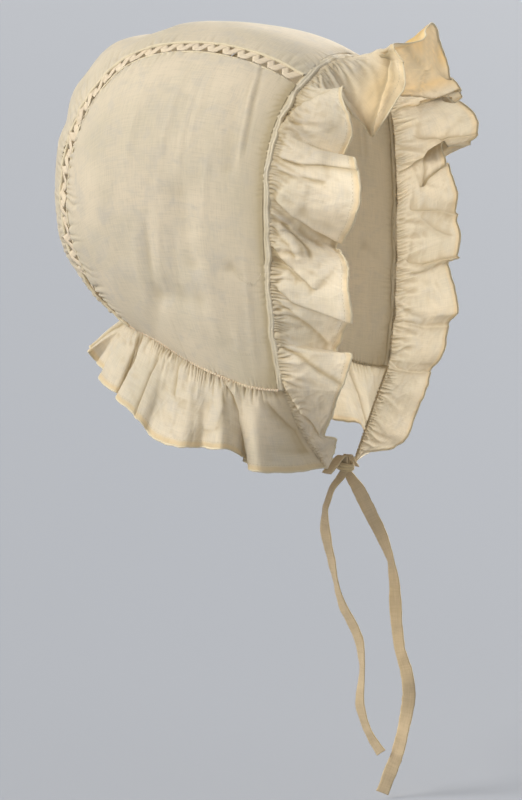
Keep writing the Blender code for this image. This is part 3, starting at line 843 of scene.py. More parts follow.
def cotton(name, light, shade, deep, hem, passes):
    """A thin woven cotton with slubs, soft stains, painted shade in its folds and a hem colour.

    passes is the share of the light that shines through it.
    """
    material = bpy.data.materials.new(name)
    material.use_nodes = True
    tree = material.node_tree
    shader = tree.nodes["Principled BSDF"]
    cloth_map = put(tree, "ShaderNodeUVMap", {"uv_map": "weave"}).outputs["UV"]
    in_mm = put(tree, "ShaderNodeMapping", None, {"Vector": cloth_map, "Scale": (1000, 1000, 1)})
    own = put(tree, "ShaderNodeTexCoord").outputs["Object"]

    def blotches(size, settings):
        inputs = {"Vector": own, "Scale": 1000 / size, **settings}
        return put(tree, "ShaderNodeTexNoise", None, inputs).outputs["Fac"]

    def slubs(scale):
        mapped = {"Vector": in_mm.outputs[0], "Scale": scale}
        stretched = put(tree, "ShaderNodeMapping", None, mapped)
        inputs = {"Vector": stretched.outputs[0], "Scale": 1.0, "Detail": 3.0, "Roughness": 0.6}
        return put(tree, "ShaderNodeTexNoise", {"noise_dimensions": "2D"}, inputs).outputs["Fac"]

    def threads(direction):
        scale = math.pi / 10 / THREAD_PITCH
        inputs = {"Vector": in_mm.outputs[0], "Scale": scale, "Distortion": 0.6, "Detail": 1.0}
        settings = {"wave_type": "BANDS", "bands_direction": direction}
        return put(tree, "ShaderNodeTexWave", settings, inputs).outputs["Fac"]

    warp = slubs((1 / SLUB_WIDTH, 1 / SLUB_LENGTH, 1))
    weft = slubs((1 / SLUB_LENGTH, 1 / SLUB_WIDTH, 1))
    slub = calculate(tree, "ADD", warp, weft)
    grain = calculate(tree, "MULTIPLY", threads("X"), threads("Y"))
    stain = blotches(STAIN_SIZE, {"Detail": 4.0, "Roughness": 0.55})
    mottle = blotches(MOTTLE_SIZE, {"Detail": 3.0, "Roughness": 0.6, "Distortion": 0.8})

    colour = mix_colour(tree, spread(tree, stain, 0.38, 0.66), light, shade)
    grey = tuple(value * factor for value, factor in zip(shade, MOTTLE_TINT))
    mottled = calculate(tree, "MULTIPLY", spread(tree, mottle, 0.48, 0.7), MOTTLE_SHARE)
    colour = mix_colour(tree, mottled, colour, grey)
    thick = tuple(min(value * THICK_SLUB, 1.0) for value in light)
    colour = mix_colour(tree, spread(tree, slub, 1.0, 1.75), colour, thick)
    thin = tuple(value * THIN_SLUB for value in shade)
    colour = mix_colour(tree, spread(tree, slub, 1.0, 0.25), colour, thin)
    # Painted shade in folds, hollows and under edges mixes the colour towards the deep tint.
    for label, tint in (("hem", hem), ("shade_and_tone", deep)):
        part = put(tree, "ShaderNodeAttribute", {"attribute_name": label}).outputs["Fac"]
        colour = mix_colour(tree, part, colour, tint)
    tree.links.new(colour, shader.inputs["Base Color"])
    for label, value in SHADER_VALUES.items():
        shader.inputs[label].default_value = value

    height = calculate(tree, "ADD", calculate(tree, "MULTIPLY", grain, GRAIN_SHARE), slub)
    bump_inputs = {"Height": height, "Strength": 0.4, "Distance": BUMP_DEPTH * MM}
    bump = put(tree, "ShaderNodeBump", None, bump_inputs).outputs["Normal"]
    tree.links.new(bump, shader.inputs["Normal"])
    glow = mix_colour(tree, PASSED_SHARE, colour, PASSED_LIGHT)
    through = put(tree, "ShaderNodeBsdfTranslucent", None, {"Color": glow, "Normal": bump})
    both = put(tree, "ShaderNodeMixShader", None, {0: passes, 1: shader.outputs[0]})
    tree.links.new(through.outputs[0], both.inputs[2])
    output = tree.nodes["Material Output"]
    tree.links.new(both.outputs[0], output.inputs["Surface"])
    return material


# %% Colours of the cotton
PANEL_CREAM = (0.79, 0.685, 0.515)
PANEL_OLIVE = (0.69, 0.61, 0.455)
# Painted shade colour of the panels and seams
PANEL_SHADE = (0.54, 0.44, 0.27)
CREAM = (0.90, 0.80, 0.63)
OLIVE_CREAM = (0.78, 0.705, 0.55)
# Deep colour of the lace, tapes and thread, for painted shade and darker selvedges
OCHRE = (0.68, 0.535, 0.28)
# Painted shade colour of the ruffles
SHADE_BROWN = (0.57, 0.455, 0.265)
HEM_CREAM = (0.84, 0.73, 0.52)
HEM_GOLD = (0.88, 0.61, 0.20)
SEAM_CREAM = (0.79, 0.68, 0.49)
SEAM_HEM = (0.78, 0.67, 0.46)
LACE_CREAM = (0.81, 0.68, 0.49)
LACE_SHADE = (0.75, 0.61, 0.42)
TAPE_CREAM = (0.55, 0.425, 0.265)
TAPE_SHADE = (0.47, 0.355, 0.205)
THREAD_PINK = (0.80, 0.58, 0.42)
THREAD_SHADE = (0.74, 0.54, 0.36)

panel_cotton = cotton("panel_cotton", PANEL_CREAM, PANEL_OLIVE, PANEL_SHADE, HEM_CREAM, 0.27)
ruffle_cotton = cotton("ruffle_cotton", CREAM, OLIVE_CREAM, SHADE_BROWN, HEM_GOLD, 0.5)
seam_cotton = cotton("seam_cotton", SEAM_CREAM, PANEL_OLIVE, PANEL_SHADE, SEAM_HEM, 0.15)
lace_cotton = cotton("lace_cotton", LACE_CREAM, LACE_SHADE, OCHRE, HEM_CREAM, 0.12)
tape_cotton = cotton("tape_cotton", TAPE_CREAM, TAPE_SHADE, OCHRE, TAPE_SHADE, 0.1)
sewing_cotton = cotton("sewing_cotton", THREAD_PINK, THREAD_SHADE, OCHRE, HEM_CREAM, 0.05)
print("cottons:", [material.name for material in bpy.data.materials])

# %% [markdown]
# ## The two tapes
# The tapes are narrow woven cotton, about 7 mm wide. They leave the corners under the chin, cross in a
# half knot and hang to their real length, turning a little as they fall. A tape is a flat cord, so its
# route and the way that it faces are one table, and a narrow grid follows them. The long edges, the
# selvedges, curl a little and are tinted darker.

# %% Ties
TAPE_WALL = 0.7
TAPE_COLUMNS = 420
TAPE_ROWS = 10
SELVEDGE = 0.25
CRINKLE = 0.35
TAPE_STEP = 0.05


def tape_route(rows, along):
    """Centre line, unit width direction and width of a tape at shares along its route."""
    stops = [(i, *row) for i, row in enumerate(rows)]
    last = len(rows) - 1
    place = along * last

    def at(stop):
        return np.stack([curve(stops, stop, k) for k in (1, 2, 3)], -1)

    point = at(place)
    tangent = unit(at(np.minimum(place + TAPE_STEP, last)) - at(np.maximum(place - TAPE_STEP, 0)))
    facing = np.radians(curve(stops, place, 4))
    width = np.stack([np.cos(facing), np.sin(facing), np.zeros(len(facing))], -1)
    width = unit(width - np.sum(width * tangent, axis=1)[:, None] * tangent)
    return point, width, tangent, curve(stops, place, 5)


def add_tie(name, node, rows, seed):
    """A tape with curling, darker edges and small crinkles. It prints its length."""
    along = np.linspace(0, 1, TAPE_COLUMNS + 1)
    point, width, tangent, wide = tape_route(rows, along)
    normal = np.cross(tangent, width)
    across = np.linspace(-0.5, 0.5, TAPE_ROWS + 1)[:, None]
    done = lengths(point)
    curl = SELVEDGE * (np.abs(2 * across) ** 6 - 0.3) * noise_map(done / 17, 0.5, seed)
    crinkle = CRINKLE * noise_map(done / 5, across * 1.5, seed + 1)
    edge = 1 + 0.05 * noise_map(done / 3, np.sign(across) * 3, seed + 2)
    points = point + (across * wide * edge)[..., None] * width + (curl + crinkle)[..., None] * normal
    selvedge = np.abs(2 * across) ** 8 * np.ones_like(done)
    # The selvedges are tinted darker.
    piece = cloth(name, points, shade_and_tone=0.35 * selvedge, wall=TAPE_WALL)
    finish(piece, tape_cotton, [node])
    print(name, "is", round(done[-1]), "mm long")


# %% [markdown]
# ## The half knot
# Where the tapes cross, one wraps once round the other. The wrap is a short piece of the same tape
# that is wound round both, a little aslant and pulled narrow, so it creases.

# %% Knot
KNOT_CENTRE = np.array([0.0, -87.0, -248.3])
KNOT_RADIUS = (3.3, 4.9)
KNOT_HEIGHT = 4.6
KNOT_SLANT = 1.3
KNOT_GRID = (120, 14)
KNOT_SQUEEZE = 0.12
KNOT_RIDGE = 0.22
KNOT_WALL = 0.8

turn = np.linspace(0, 2 * np.pi, KNOT_GRID[0] + 1)
rise = np.linspace(-0.5, 0.5, KNOT_GRID[1] + 1)[:, None]
squeeze = 1 - KNOT_SQUEEZE * np.cos(np.pi * rise) * np.cos(2 * turn + 0.6)
creased = np.sin(rise * 17 + 2.2 * np.sin(turn + 0.8))
ridge = KNOT_RIDGE * creased
lift = rise * KNOT_HEIGHT * (1 + 0.18 * np.sin(turn)) + KNOT_SLANT * np.sin(turn + 0.7)
knot_points = np.stack(
    [
        KNOT_CENTRE[0] + (KNOT_RADIUS[0] * squeeze + ridge) * np.cos(turn),
        KNOT_CENTRE[1] + (KNOT_RADIUS[1] * squeeze + ridge) * np.sin(turn),
        KNOT_CENTRE[2] + lift,
    ],
    -1,
)
# Painted shade over the whole wrap, varying with its creases.
knot = cloth("half_knot", knot_points, shade_and_tone=0.3 + 0.3 * creased, wall=KNOT_WALL)
finish(knot, tape_cotton, ["tie_knot"])

# %% Lay the tapes
add_tie("right_tape", "tie_right", TIE_RIGHT, 11)
add_tie("left_tape", "tie_left", TIE_LEFT, 23)

# %% [markdown]
# ## The centre strip and the side panels
# These are plain pieces of muslin. They follow the form, with a few long soft creases where the cloth
# was folded away, dents where the head leaves it slack, and short puckers along every seam, because
# the thread is drawn tighter than the cloth.

# %% Puckers and soft dents
SEAM_PUCKER = 0.55
SLACK = 0.35


def puckers(along, away, height, pitch, reach, seed):
    """Short ridges that run off a seam: along and away are distances in millimetres."""
    drift = 0.9 * noise_map(along / 11, 0, seed) + 0.5 * noise_map(along / 5, away / 9, seed + 1)
    ridge = np.abs(np.sin(np.pi * (along / pitch + drift))) ** 0.7 * 2 - 1.2
    strength = 0.75 + 0.65 * noise_map(along / 8, 0, seed + 2)
    span = reach * (1 + 0.6 * noise_map(along / 6, 0, seed + 3))
    return height * strength * ridge * bell(away, span)


def slack(points, seed):
    """Low wide unevenness of a cloth that nothing pulls tight."""
    wide = noise_map(points[..., 1] / 26, points[..., 2] / 34, seed)
    small = noise_map(points[..., 1] / 9, points[..., 2] / 14, seed + 1)
    return SLACK * (wide + 0.4 * small)


def add_panel(name, points, rise, node, shadow=0.0):
    """A panel whose surface is raised by the given heights, shaded in its hollows."""
    normal = outward_normals(points)
    points = points + rise[..., None] * normal
    # Painted shade: deeper where the surface lies under its softened surroundings, plus the given
    # painted shadow.
    shade_and_tone = 0.4 * hollowness(points, normal, 5, 0.12) + 0.2 * hollowness(points, normal, 60, 1.2)
    piece = cloth(name, points, shade_and_tone=np.clip(shade_and_tone * 0.7 + shadow, 0, 1), outward=away_from_head)
    finish(piece, panel_cotton, [node])
    return points, normal


# %% Centre strip
CENTRE_GRID = (110, 300)
# Columns: angle over the crown in degrees and lateral place of a bulge of loose cloth, its height,
# its half width in degrees and its half width across
CENTRE_BULGES = [
    (127, -12, 3.6, 7, 24),
    (113, -6, -1.8, 4, 20),
    (151, -32, -1.4, 3.5, 18),
    (97, 6, 0.8, 7, 26),
    (142, -26, 1.6, 5, 20),
    (136, 30, 1.4, 9, 18),
    (119, 36, -0.9, 5, 12),
    (172, 12, 0.9, 10, 22),
]

share, along = grid(*CENTRE_GRID)
share = 2 * share - 1
centre = centre_point(share, along)
middle = centre_point(np.zeros((CENTRE_GRID[1] + 1, 1)), along[:, :1])[:, 0]
run = lengths(middle)[:, None] * np.ones_like(share)
half = np.abs(centre[..., 0]).max(1)[:, None]
from_seam = (1 - np.abs(share)) * half
back = ease((along - 0.36) / 0.2)
nape = run[-1, 0] - run
height = SEAM_PUCKER * (0.5 + 1.6 * back)
rise = puckers(run + 40 * (share > 0), from_seam, height, 5.5, 8 + 5 * back, 31)
rise = rise + puckers(share * half, run, 0.35, 3.4, 7.0, 37)
rise = rise + puckers(share * half, nape, 1.1, 4.6, 22.0, 41)
rise = rise + SLACK * 1.3 * noise_map(centre[..., 0] / 30, run / 24, 43)
over_crown = profile_angle(centre[..., 1], centre[..., 2])
for angle, place, height, half_width, half_across in CENTRE_BULGES:
    bulge = bell(over_crown - angle, half_width) * bell(centre[..., 0] - place, half_across)
    rise = rise + height * bulge * ease(from_seam / 12)
add_panel("centre_strip", centre, rise, "centre_panel")

# %% Fine creases of the side panels
# Columns: y, z of one end, y, z of the other end, rise of the cloth between them, half width
FINE_CREASES = [
    (-56, -12, -61, -27, 0.7, 1.3),
    (-61, -25, -62.5, -50, 0.7, 1.2),
    (-62.5, -46, -62, -74, 0.6, 1.3),
    (-60, -18, -64, -33, -0.4, 1.5),
    (-64, -30, -65.5, -52, -0.5, 1.4),
    (-65.5, -48, -65, -70, -0.4, 1.6),
    (-36, -16, -31, -66, 0.3, 2.5),
    (-20, -16, -12, -88, 0.3, 2.2),
    (-28, -30, -24, -96, 0.25, 1.8),
    (-44, -60, -41, -110, 0.3, 2.2),
    (4, -30, 9, -84, 0.3, 2.6),
    (-4, -104, -7, -148, -1.1, 3.2),
    (-12, -98, -14, -154, 0.6, 2.8),
    (-20, -104, -26, -160, -0.8, 4.0),
    (4, -112, 0, -152, 0.5, 3.0),
    (-30, -140, -38, -174, 0.5, 3.4),
    (-46, -150, -55, -178, -0.6, 4.6),
    (-66, -120, -68, -192, 0.5, 2.4),
    (-58, -160, -60, -190, 0.3, 2.4),
]
LEFT_CREASE_SHARE = 0.8
LEFT_CREASE_SHIFT = (6, -9)
print(len(FINE_CREASES), "fine creases on each side panel")

# %% Side panels
SIDE_GRID = (200, 200)
CREASE_ENDS = 0.2

side_surface = {}
for side, name, seed in ((-1, "right", 51), (1, "left", 67)):
    along, up = grid(*SIDE_GRID)
    panel = side_point(along, up, side)
    y, z = panel[..., 1], panel[..., 2]
    run = np.stack([lengths(row) for row in panel])
    climb = np.stack([lengths(column) for column in np.moveaxis(panel, 1, 0)], 1)
    wide, tall = run[:, -1:], climb[-1:]
    back = ease((along - 0.35) / 0.35)
    rise = puckers(climb, run, 0.35, 3.6, 4.0, seed)
    rise = rise + puckers(run, climb, 0.45, 2.4, 5.0, seed + 4)
    height = SEAM_PUCKER * (0.3 + back)
    rise = rise + puckers(run, tall - climb, height, 5.0, 4 + 5 * back, seed + 8)
    rise = rise + puckers(climb, wide - run, SEAM_PUCKER * 1.4, 5.0, 7.0, seed + 12)
    rise = rise + slack(panel, seed + 16)
    if side < 0:
        rise = rise + creases(FINE_CREASES, y, z, CREASE_ENDS)
    else:
        shift_y, shift_z = LEFT_CREASE_SHIFT
        fine = creases(FINE_CREASES, y - shift_y, z - shift_z, CREASE_ENDS)
        rise = rise + LEFT_CREASE_SHARE * fine
    shadow = 0.9 * bell(run, 2.6) * (0.75 + 0.25 * noise_map(climb / 7, 0.5, seed + 20))
    upper = 0.4 + 0.6 * ease((climb / tall - 0.3) / 0.3)
    shadow = shadow + 0.55 * upper * bell(run, 6.0) + 0.26 * bell(run, 24.0)
    shadow = shadow + 0.6 * bell(np.hypot(run, climb), 13.0)
    piece_name, node = "side_cloth_" + name, "side_panel_" + name
    side_surface[name] = add_panel(piece_name, panel, rise, node, shadow)

# %% [markdown]
# ## The openwork seams
# A narrow tape is folded to and fro between the two cloths, so that small triangles stay open along
# both of its sides. Such a zigzag repeats along a path, which is what Geometry Nodes are for. The tree
# lays a long grid along the seam: one number runs along it, and a pingpong of that number carries the
# grid from side to side. The pitch, tape width and lift are inputs, so the same tree makes both seams.

# %% Helpers for the trees
def tree_with_inputs(name, inputs):
    """A geometry tree with its group nodes and named inputs."""
    tree = bpy.data.node_groups.new(name, "GeometryNodeTree")
    tree.interface.new_socket("Geometry", in_out="INPUT", socket_type="NodeSocketGeometry")
    for label, kind in inputs:
        tree.interface.new_socket(label, in_out="INPUT", socket_type=kind)
    tree.interface.new_socket("Geometry", in_out="OUTPUT", socket_type="NodeSocketGeometry")
    return tree, tree.nodes.new("NodeGroupInput").outputs, tree.nodes.new("NodeGroupOutput").inputs


def vector_maths(tree, operation, first, second):
    """One step of arithmetic on vectors; a scale takes its factor as the second input."""
    slot = 3 if operation == "SCALE" else 1
    made = put(tree, "ShaderNodeVectorMath", {"operation": operation}, {0: first, slot: second})
    return made.outputs[0]


def path_attribute(tree, name):
    """A vector attribute that is stored on the points of the path."""
    settings = {"data_type": "FLOAT_VECTOR"}
    return put(tree, "GeometryNodeInputNamedAttribute", settings, {"Name": name}).outputs[0]


def read_curve(tree, path, travel, value):
    """A vector attribute, and the place, at a length along a curve."""
    sample = {"mode": "LENGTH", "use_all_curves": True, "data_type": "FLOAT_VECTOR"}
    sampler = put(tree, "GeometryNodeSampleCurve", sample, {"Curves": path, "Length": travel})
    tree.links.new(value, sampler.inputs["Value"])
    return sampler.outputs["Value"], sampler.outputs["Position"]


def set_material(tree, geometry, material, result):
    """Give the tree's geometry its material and send it to the output."""
    inputs = {"Geometry": geometry, "Material": material}
    finished = put(tree, "GeometryNodeSetMaterial", None, inputs)
    tree.links.new(finished.outputs[0], result["Geometry"])


# %% A tree for the zigzag tape
STEPS_PER_FOLD = 8.0
LACE_UV_WIDTH = 9


def zigzag_tree():
    """Tape folded to and fro along a path."""
    sockets = [
        ("Share of Band", "NodeSocketFloat"),
        ("Tape Width", "NodeSocketFloat"),
        ("Pitches", "NodeSocketInt"),
        ("Lift", "NodeSocketFloat"),
        ("Cotton", "NodeSocketMaterial"),
    ]
    tree, given, result = tree_with_inputs("zigzag_tape", sockets)
    path = put(tree, "GeometryNodeMeshToCurve", None, {"Mesh": given["Geometry"]}).outputs[0]
    length = put(tree, "GeometryNodeCurveLength", None, {"Curve": path}).outputs[0]
    folds = calculate(tree, "MULTIPLY", given["Pitches"], 2.0)
    steps = calculate(tree, "ADD", calculate(tree, "MULTIPLY", folds, STEPS_PER_FOLD), 1.0)
    grid_inputs = {"Size X": 1.0, "Size Y": 1.0, "Vertices X": steps, "Vertices Y": 4}
    mesh_grid = put(tree, "GeometryNodeMeshGrid", None, grid_inputs)
    place = put(tree, "GeometryNodeInputPosition").outputs[0]
    axes = put(tree, "ShaderNodeSeparateXYZ", None, {0: place}).outputs
    share = calculate(tree, "ADD", axes[0], 0.5)
    phase = calculate(tree, "MULTIPLY", share, folds)
    swing = calculate(tree, "SUBTRACT", calculate(tree, "PINGPONG", phase, 1.0), 0.5)
    shift = calculate(tree, "MULTIPLY", axes[1], given["Tape Width"])
    room_left = calculate(tree, "SUBTRACT", length, given["Tape Width"])
    inner = calculate(tree, "MULTIPLY", share, room_left)
    start = calculate(tree, "MULTIPLY", given["Tape Width"], 0.5)
    travel = calculate(tree, "ADD", calculate(tree, "ADD", inner, start), shift)
    up, middle = read_curve(tree, path, travel, path_attribute(tree, "outward"))
    side, _ = read_curve(tree, path, travel, path_attribute(tree, "across"))
    swung = calculate(tree, "MULTIPLY", swing, given["Share of Band"])
    across = vector_maths(tree, "SCALE", side, swung)
    wave = calculate(tree, "SINE", calculate(tree, "MULTIPLY", phase, math.pi))
    over_under = vector_maths(tree, "SCALE", up, calculate(tree, "MULTIPLY", wave, given["Lift"]))
    point = vector_maths(tree, "ADD", vector_maths(tree, "ADD", middle, across), over_under)
    laid_inputs = {"Geometry": mesh_grid.outputs[0], "Position": point}
    laid = put(tree, "GeometryNodeSetPosition", None, laid_inputs)
    sideways = calculate(tree, "MULTIPLY", swing, LACE_UV_WIDTH * MM)
    uv = put(tree, "ShaderNodeCombineXYZ", None, {0: travel, 1: sideways})
    store = {"data_type": "FLOAT2", "domain": "CORNER"}
    store_inputs = {"Geometry": laid.outputs[0], "Name": "weave", "Value": uv.outputs[0]}
    stored = put(tree, "GeometryNodeStoreNamedAttribute", store, store_inputs)
    real = put(tree, "GeometryNodeRealizeInstances", None, {"Geometry": stored.outputs[0]})
    set_material(tree, real.outputs[0], given["Cotton"], result)
    return tree


zigzag = zigzag_tree()
print("tree", zigzag.name, "with", len(zigzag.nodes), "nodes")


# %% Run a tree on a path
def run_tree(name, tree, points, vectors, values):
    """Run a tree on a path and keep the result as a plain mesh object."""
    mesh = bpy.data.meshes.new(name + "_path")
    edges = []
    start = 0
    for line in points:
        edges += [(start + i, start + i + 1) for i in range(len(line) - 1)]
        start += len(line)
    mesh.from_pydata((np.concatenate(points) * MM).tolist(), edges, [])
    for label, lines in vectors.items():
        layer = mesh.attributes.new(label, "FLOAT_VECTOR", "POINT")
        layer.data.foreach_set("vector", np.concatenate(lines).ravel().astype(np.float32))
    path = link(bpy.data.objects.new(name + "_path", mesh))
    modifier = path.modifiers.new("tree", "NODES")
    modifier.node_group = tree
    for socket in tree.interface.items_tree:
        if socket.in_out == "INPUT" and socket.name in values:
            modifier[socket.identifier] = values[socket.name]
    shape = path.evaluated_get(bpy.context.evaluated_depsgraph_get())
    made = bpy.data.meshes.new_from_object(shape)
    made.name = name
    bpy.data.objects.remove(path)
    piece = link(bpy.data.objects.new(name, made))
    made.shade_smooth()
    print(name, len(made.polygons), "faces")
    return piece


# %% Lay the openwork
TAPE_OF_LACE = 5.0
LACE_PITCHES = 29
LACE_LIFT = 0.05
LACE_WALL = 0.12
LACE_MARGIN = 0.8
CRUMPLE = 1.5
# Columns: side, name, seed
SIDES = [(-1, "right", 5), (1, "left", 9)]


def seam_path(side, inset, samples, crumple, seed):
    """Points, outward directions and steps across of a line along an openwork seam.

    A step across is 1 mm long on the cloth. The line is crumpled towards the back.
    """
    along = np.linspace(0.004, 0.996, samples)
    x, y, z = strip_point(lambda angle: seam_x(angle, inset), along)[:3]
    points = np.stack([side * x, y, z], -1)
    inner = strip_point(lambda angle: seam_x(angle, inset + 2), along)[:3]
    lateral = points - np.stack([side * inner[0], inner[1], inner[2]], -1)
    lateral = unit(lateral)
    outward = np.cross(directions(points), lateral)
    outward = outward * np.sign(np.sum(outward * away_from_head(points), axis=1))[:, None]
    done = lengths(points)
    back = (0.05 + ease((along - 0.3) / 0.25)) * crumple
    points = points + (back * noise_map(done / 5.5, 0.5, seed))[:, None] * outward
    points = points + (0.8 * back * noise_map(done / 6.5, 3.5, seed))[:, None] * lateral
    tilt = (0.35 * back * noise_map(done / 5, 7.5, seed))[:, None]
    return points, outward, lateral + tilt * outward


for side, name, seed in SIDES:
    path, outward, across = seam_path(side, 0.0, 700, CRUMPLE, seed)
    values = {
        "Share of Band": (OPENWORK_WIDTH - LACE_MARGIN) * MM,
        "Tape Width": TAPE_OF_LACE * MM,
        "Pitches": LACE_PITCHES,
        "Lift": LACE_LIFT * MM,
        "Cotton": lace_cotton,
    }
    vectors = {"outward": [outward], "across": [across]}
    lace = run_tree("zigzag_tape_" + name, zigzag, [path], vectors, values)
    add_wall(lace, LACE_WALL)
    finish(lace, lace_cotton, ["openwork_" + name])

# %% [markdown]
# ## Hem rolls
# The raw edges are rolled and sewn before the lace, the band and the ruffles are joined to them. Each
# roll is a thin flattened tube along the edge, a little uneven, as a hand rolls it.

# %% Rolls along a line
ROLL_SIDES = 8
# Columns: edge, distance from the middle of the seam, width and height of the roll
OPENWORK_HEMS = [("inner", 4.2, (2.4, 1.9)), ("outer", -4.7, (1.3, 0.8))]


def add_roll(name, points, outward, size, slot, seed, unevenness=0.16, shade_and_tone=0.25):
    """A flattened tube: size is its width along the surface and its height."""
    tangent = directions(points)
    outward = unit(outward - np.sum(outward * tangent, axis=1)[:, None] * tangent)
    lateral = np.cross(tangent, outward)
    done = lengths(points)
    turn = np.linspace(0, 2 * np.pi, ROLL_SIDES, endpoint=False)[:, None]
    uneven = 1 + unevenness * noise_map(done / 2.4, turn * 1.3, seed)
    uneven = uneven + unevenness * noise_map(done / 9, 0, seed + 1)
    ring_side = (size[0] / 2 * np.cos(turn) * uneven)[..., None] * lateral
    ring_up = (size[1] / 2 * np.sin(turn) * uneven)[..., None] * outward
    tube = points + ring_side + ring_up
    tube = np.concatenate([tube, tube[:1]])
    # Painted shade on the side of the roll that faces the cloth.
    shade = shade_and_tone * np.clip(0.6 - np.sin(np.concatenate([turn, turn[:1]])), 0, 1)
    piece = cloth(name, tube, shade_and_tone=shade * np.ones_like(done), wall=0, hem=1.0)
    weld = piece.modifiers.new("close", "WELD")
    weld.merge_threshold = 0.02 * MM
    finish(piece, seam_cotton)


for side, name, seed in SIDES:
    for edge, place, size in OPENWORK_HEMS:
        path, outward = seam_path(side, place, 420, 0.55 * CRUMPLE, seed)[:2]
        hem_name = "openwork_hem_" + edge + "_" + name
        add_roll(hem_name, path, outward, size, "openwork_tape", seed + 30)

# %% [markdown]
# ## The corded band
# A narrow band finishes the edge of the cap and holds the gathers of the ruffle. Two cords run inside
# it, so it shows a double ridge with a groove between them, and it is a little wavy, as the gathers
# push it about.

# %% Face band
BAND_COLUMNS = 620
BAND_ROWS = 16
BAND_REACH = (-0.6, 3.4)
CORD_HEIGHT = 0.44
BAND_LIFT = 0.4
BAND_SINK = 0.25
# Columns: share of the band's width and half width of its inner and its outer cord
CORDS = [(0.36, 0.15), (0.74, 0.14)]

corner = corner_angle()
theta = corner + (180 - 2 * corner) * np.linspace(0, 1, BAND_COLUMNS + 1)
v = np.linspace(0, 1, BAND_ROWS + 1)[:, None]
reaches = BAND_REACH[0] + (BAND_REACH[1] - BAND_REACH[0]) * v[:, 0]
base = np.stack([front_edge(theta, forward) for forward in reaches])
done = lengths(base[0])
normal = outward_normals(base)
inner_cord, outer_cord = (bell(v - place, width) for place, width in CORDS)
cords = (0.55 + 0.3 * noise_map(done / 13, 0.4, 70)) * inner_cord + outer_cord
lump = 1 + 0.7 * noise_map(done / 1.9, v * 3, 71) + 0.45 * noise_map(done / 6, v * 2, 72)
height = BAND_LIFT * np.sin(np.pi * v) ** 0.5 + CORD_HEIGHT * cords * lump - BAND_SINK
sway = 1.1 * noise_map(done / 11, 0.2, 73) + 0.6 * noise_map(done / 4, 0.7, 74)
band = base + height[..., None] * normal - (sway * np.ones_like(v))[..., None] * np.array([0, 1.0, 0])
# Painted shade in the groove between the cords, a painted shadow along the edge beside the panel, and
# patches of painted shade for small crumples.
groove_and_edge_shade = 0.25 * np.clip(1 - 1.3 * cords, 0, 1) + 0.9 * bell(v, 0.17)
patchy_shade = 0.3 * np.clip(noise_map(done / 5, v * 2, 76) + 0.2, 0, 1)
band_shade = np.clip(groove_and_edge_shade * (1 + 0.6 * noise_map(done / 9, 0.5, 75)) + patchy_shade, 0, 1)
face_band = cloth("corded_band", band, shade_and_tone=band_shade, wall=0.4, outward=away_from_head, hem=0.2)
finish(face_band, seam_cotton, ["face_band"])

# %% [markdown]
# ## Ruffles
# A ruffle is a strip about one and a half times as long as the seam that it is gathered on to. Right
# at the seam it lies in tight small gathers. From there a few long creases fan out, and the free edge
# swings in and out in broad flutes, which come from the table of folds, as in the solids. Old cloth
# that has been pressed flat also laps over itself. Such a lap is a step in the surface: the cloth on
# one side of a line is raised and pushed across the line, and on the other side it dips under.

# %% Gathers and fanning creases
GATHER_PITCH = 2.0
GATHER_HEIGHT = 0.75
GATHER_REACH = 0.12
FAN_SPACING = 4.4
FAN_HEIGHT = 0.95
FAN_MARGIN = 4
FAN_SWING = 5.0
FAN_BEND = 2.0
DIP_SHARE = 0.75
DIP_PLACE = 1.7
SWELL = 0.7
PRESSED_HEIGHT = 0.3


def pressed(places, out, seed):
    """Sharp little ridges that old pressed cloth keeps, running every way."""
    first = noise_map(places / 9 + 3 * out, out * 4, seed)
    second = noise_map(places / 5.5 - 4 * out, out * 6, seed + 1)
    return PRESSED_HEIGHT * ((1 - 2 * np.abs(first)) ** 3 + 0.7 * (1 - 2 * np.abs(second)) ** 3)


def gathers(places, out, half, lean, fans, seed):
    """Height of gathers and creases at places along the seam and shares of the ruffle's depth.

    fans is the strength of the long creases.
    """
    drift = 0.9 * noise_map(places / 6, 0.5, seed + 1) + 0.6 * noise_map(places / 4, out * 6, seed + 2)
    tight = np.abs(np.sin(np.pi * (places / GATHER_PITCH + drift))) * 2 - 1.1
    reach = GATHER_REACH * (1.1 + 0.7 * noise_map(places / 4.3, 0.5, seed + 3))
    strength = 0.8 + 0.5 * noise_map(places / 7, 0, seed + 4)
    height = GATHER_HEIGHT * tight * bell(out, reach) * strength
    random = np.random.default_rng(seed)
    start = FAN_MARGIN - half
    while start < half - FAN_MARGIN:
        span = random.uniform(0.25, 0.95)
        swing = lean * span + random.normal(0, FAN_SWING) * span
        bend = random.normal(0, FAN_BEND)
        route = start + swing * (out / span) + bend * np.sin(np.pi * np.clip(out / span, 0, 1))
        width = 0.9 + 2.0 * out * random.uniform(0.6, 1.4)
        fade = ease(1.15 * (1 - out / span)) * ease(out / 0.04 + 0.2)
        away = (places - route) / width
        ridge = bell(away, 1) - DIP_SHARE * bell(away + random.choice([-DIP_PLACE, DIP_PLACE]), 1)
        height = height + FAN_HEIGHT * fans * random.uniform(0.4, 1.3) * ridge * fade
        start += FAN_SPACING * random.uniform(0.35, 1.65)
    soft = SWELL * noise_map(places / 14, out * 2.2, seed + 5)
    soft = soft + 0.35 * noise_map(places / 5, out * 7, seed + 6)
    return height + (soft + pressed(places, out, seed + 7)) * ease(out / 0.25)


# %% Laps where cloth folds over itself
LAP_REACH = 10.0
LAP_EDGE = 0.6
UNDER_REACH = 5.0
LAP_DIP = 0.55


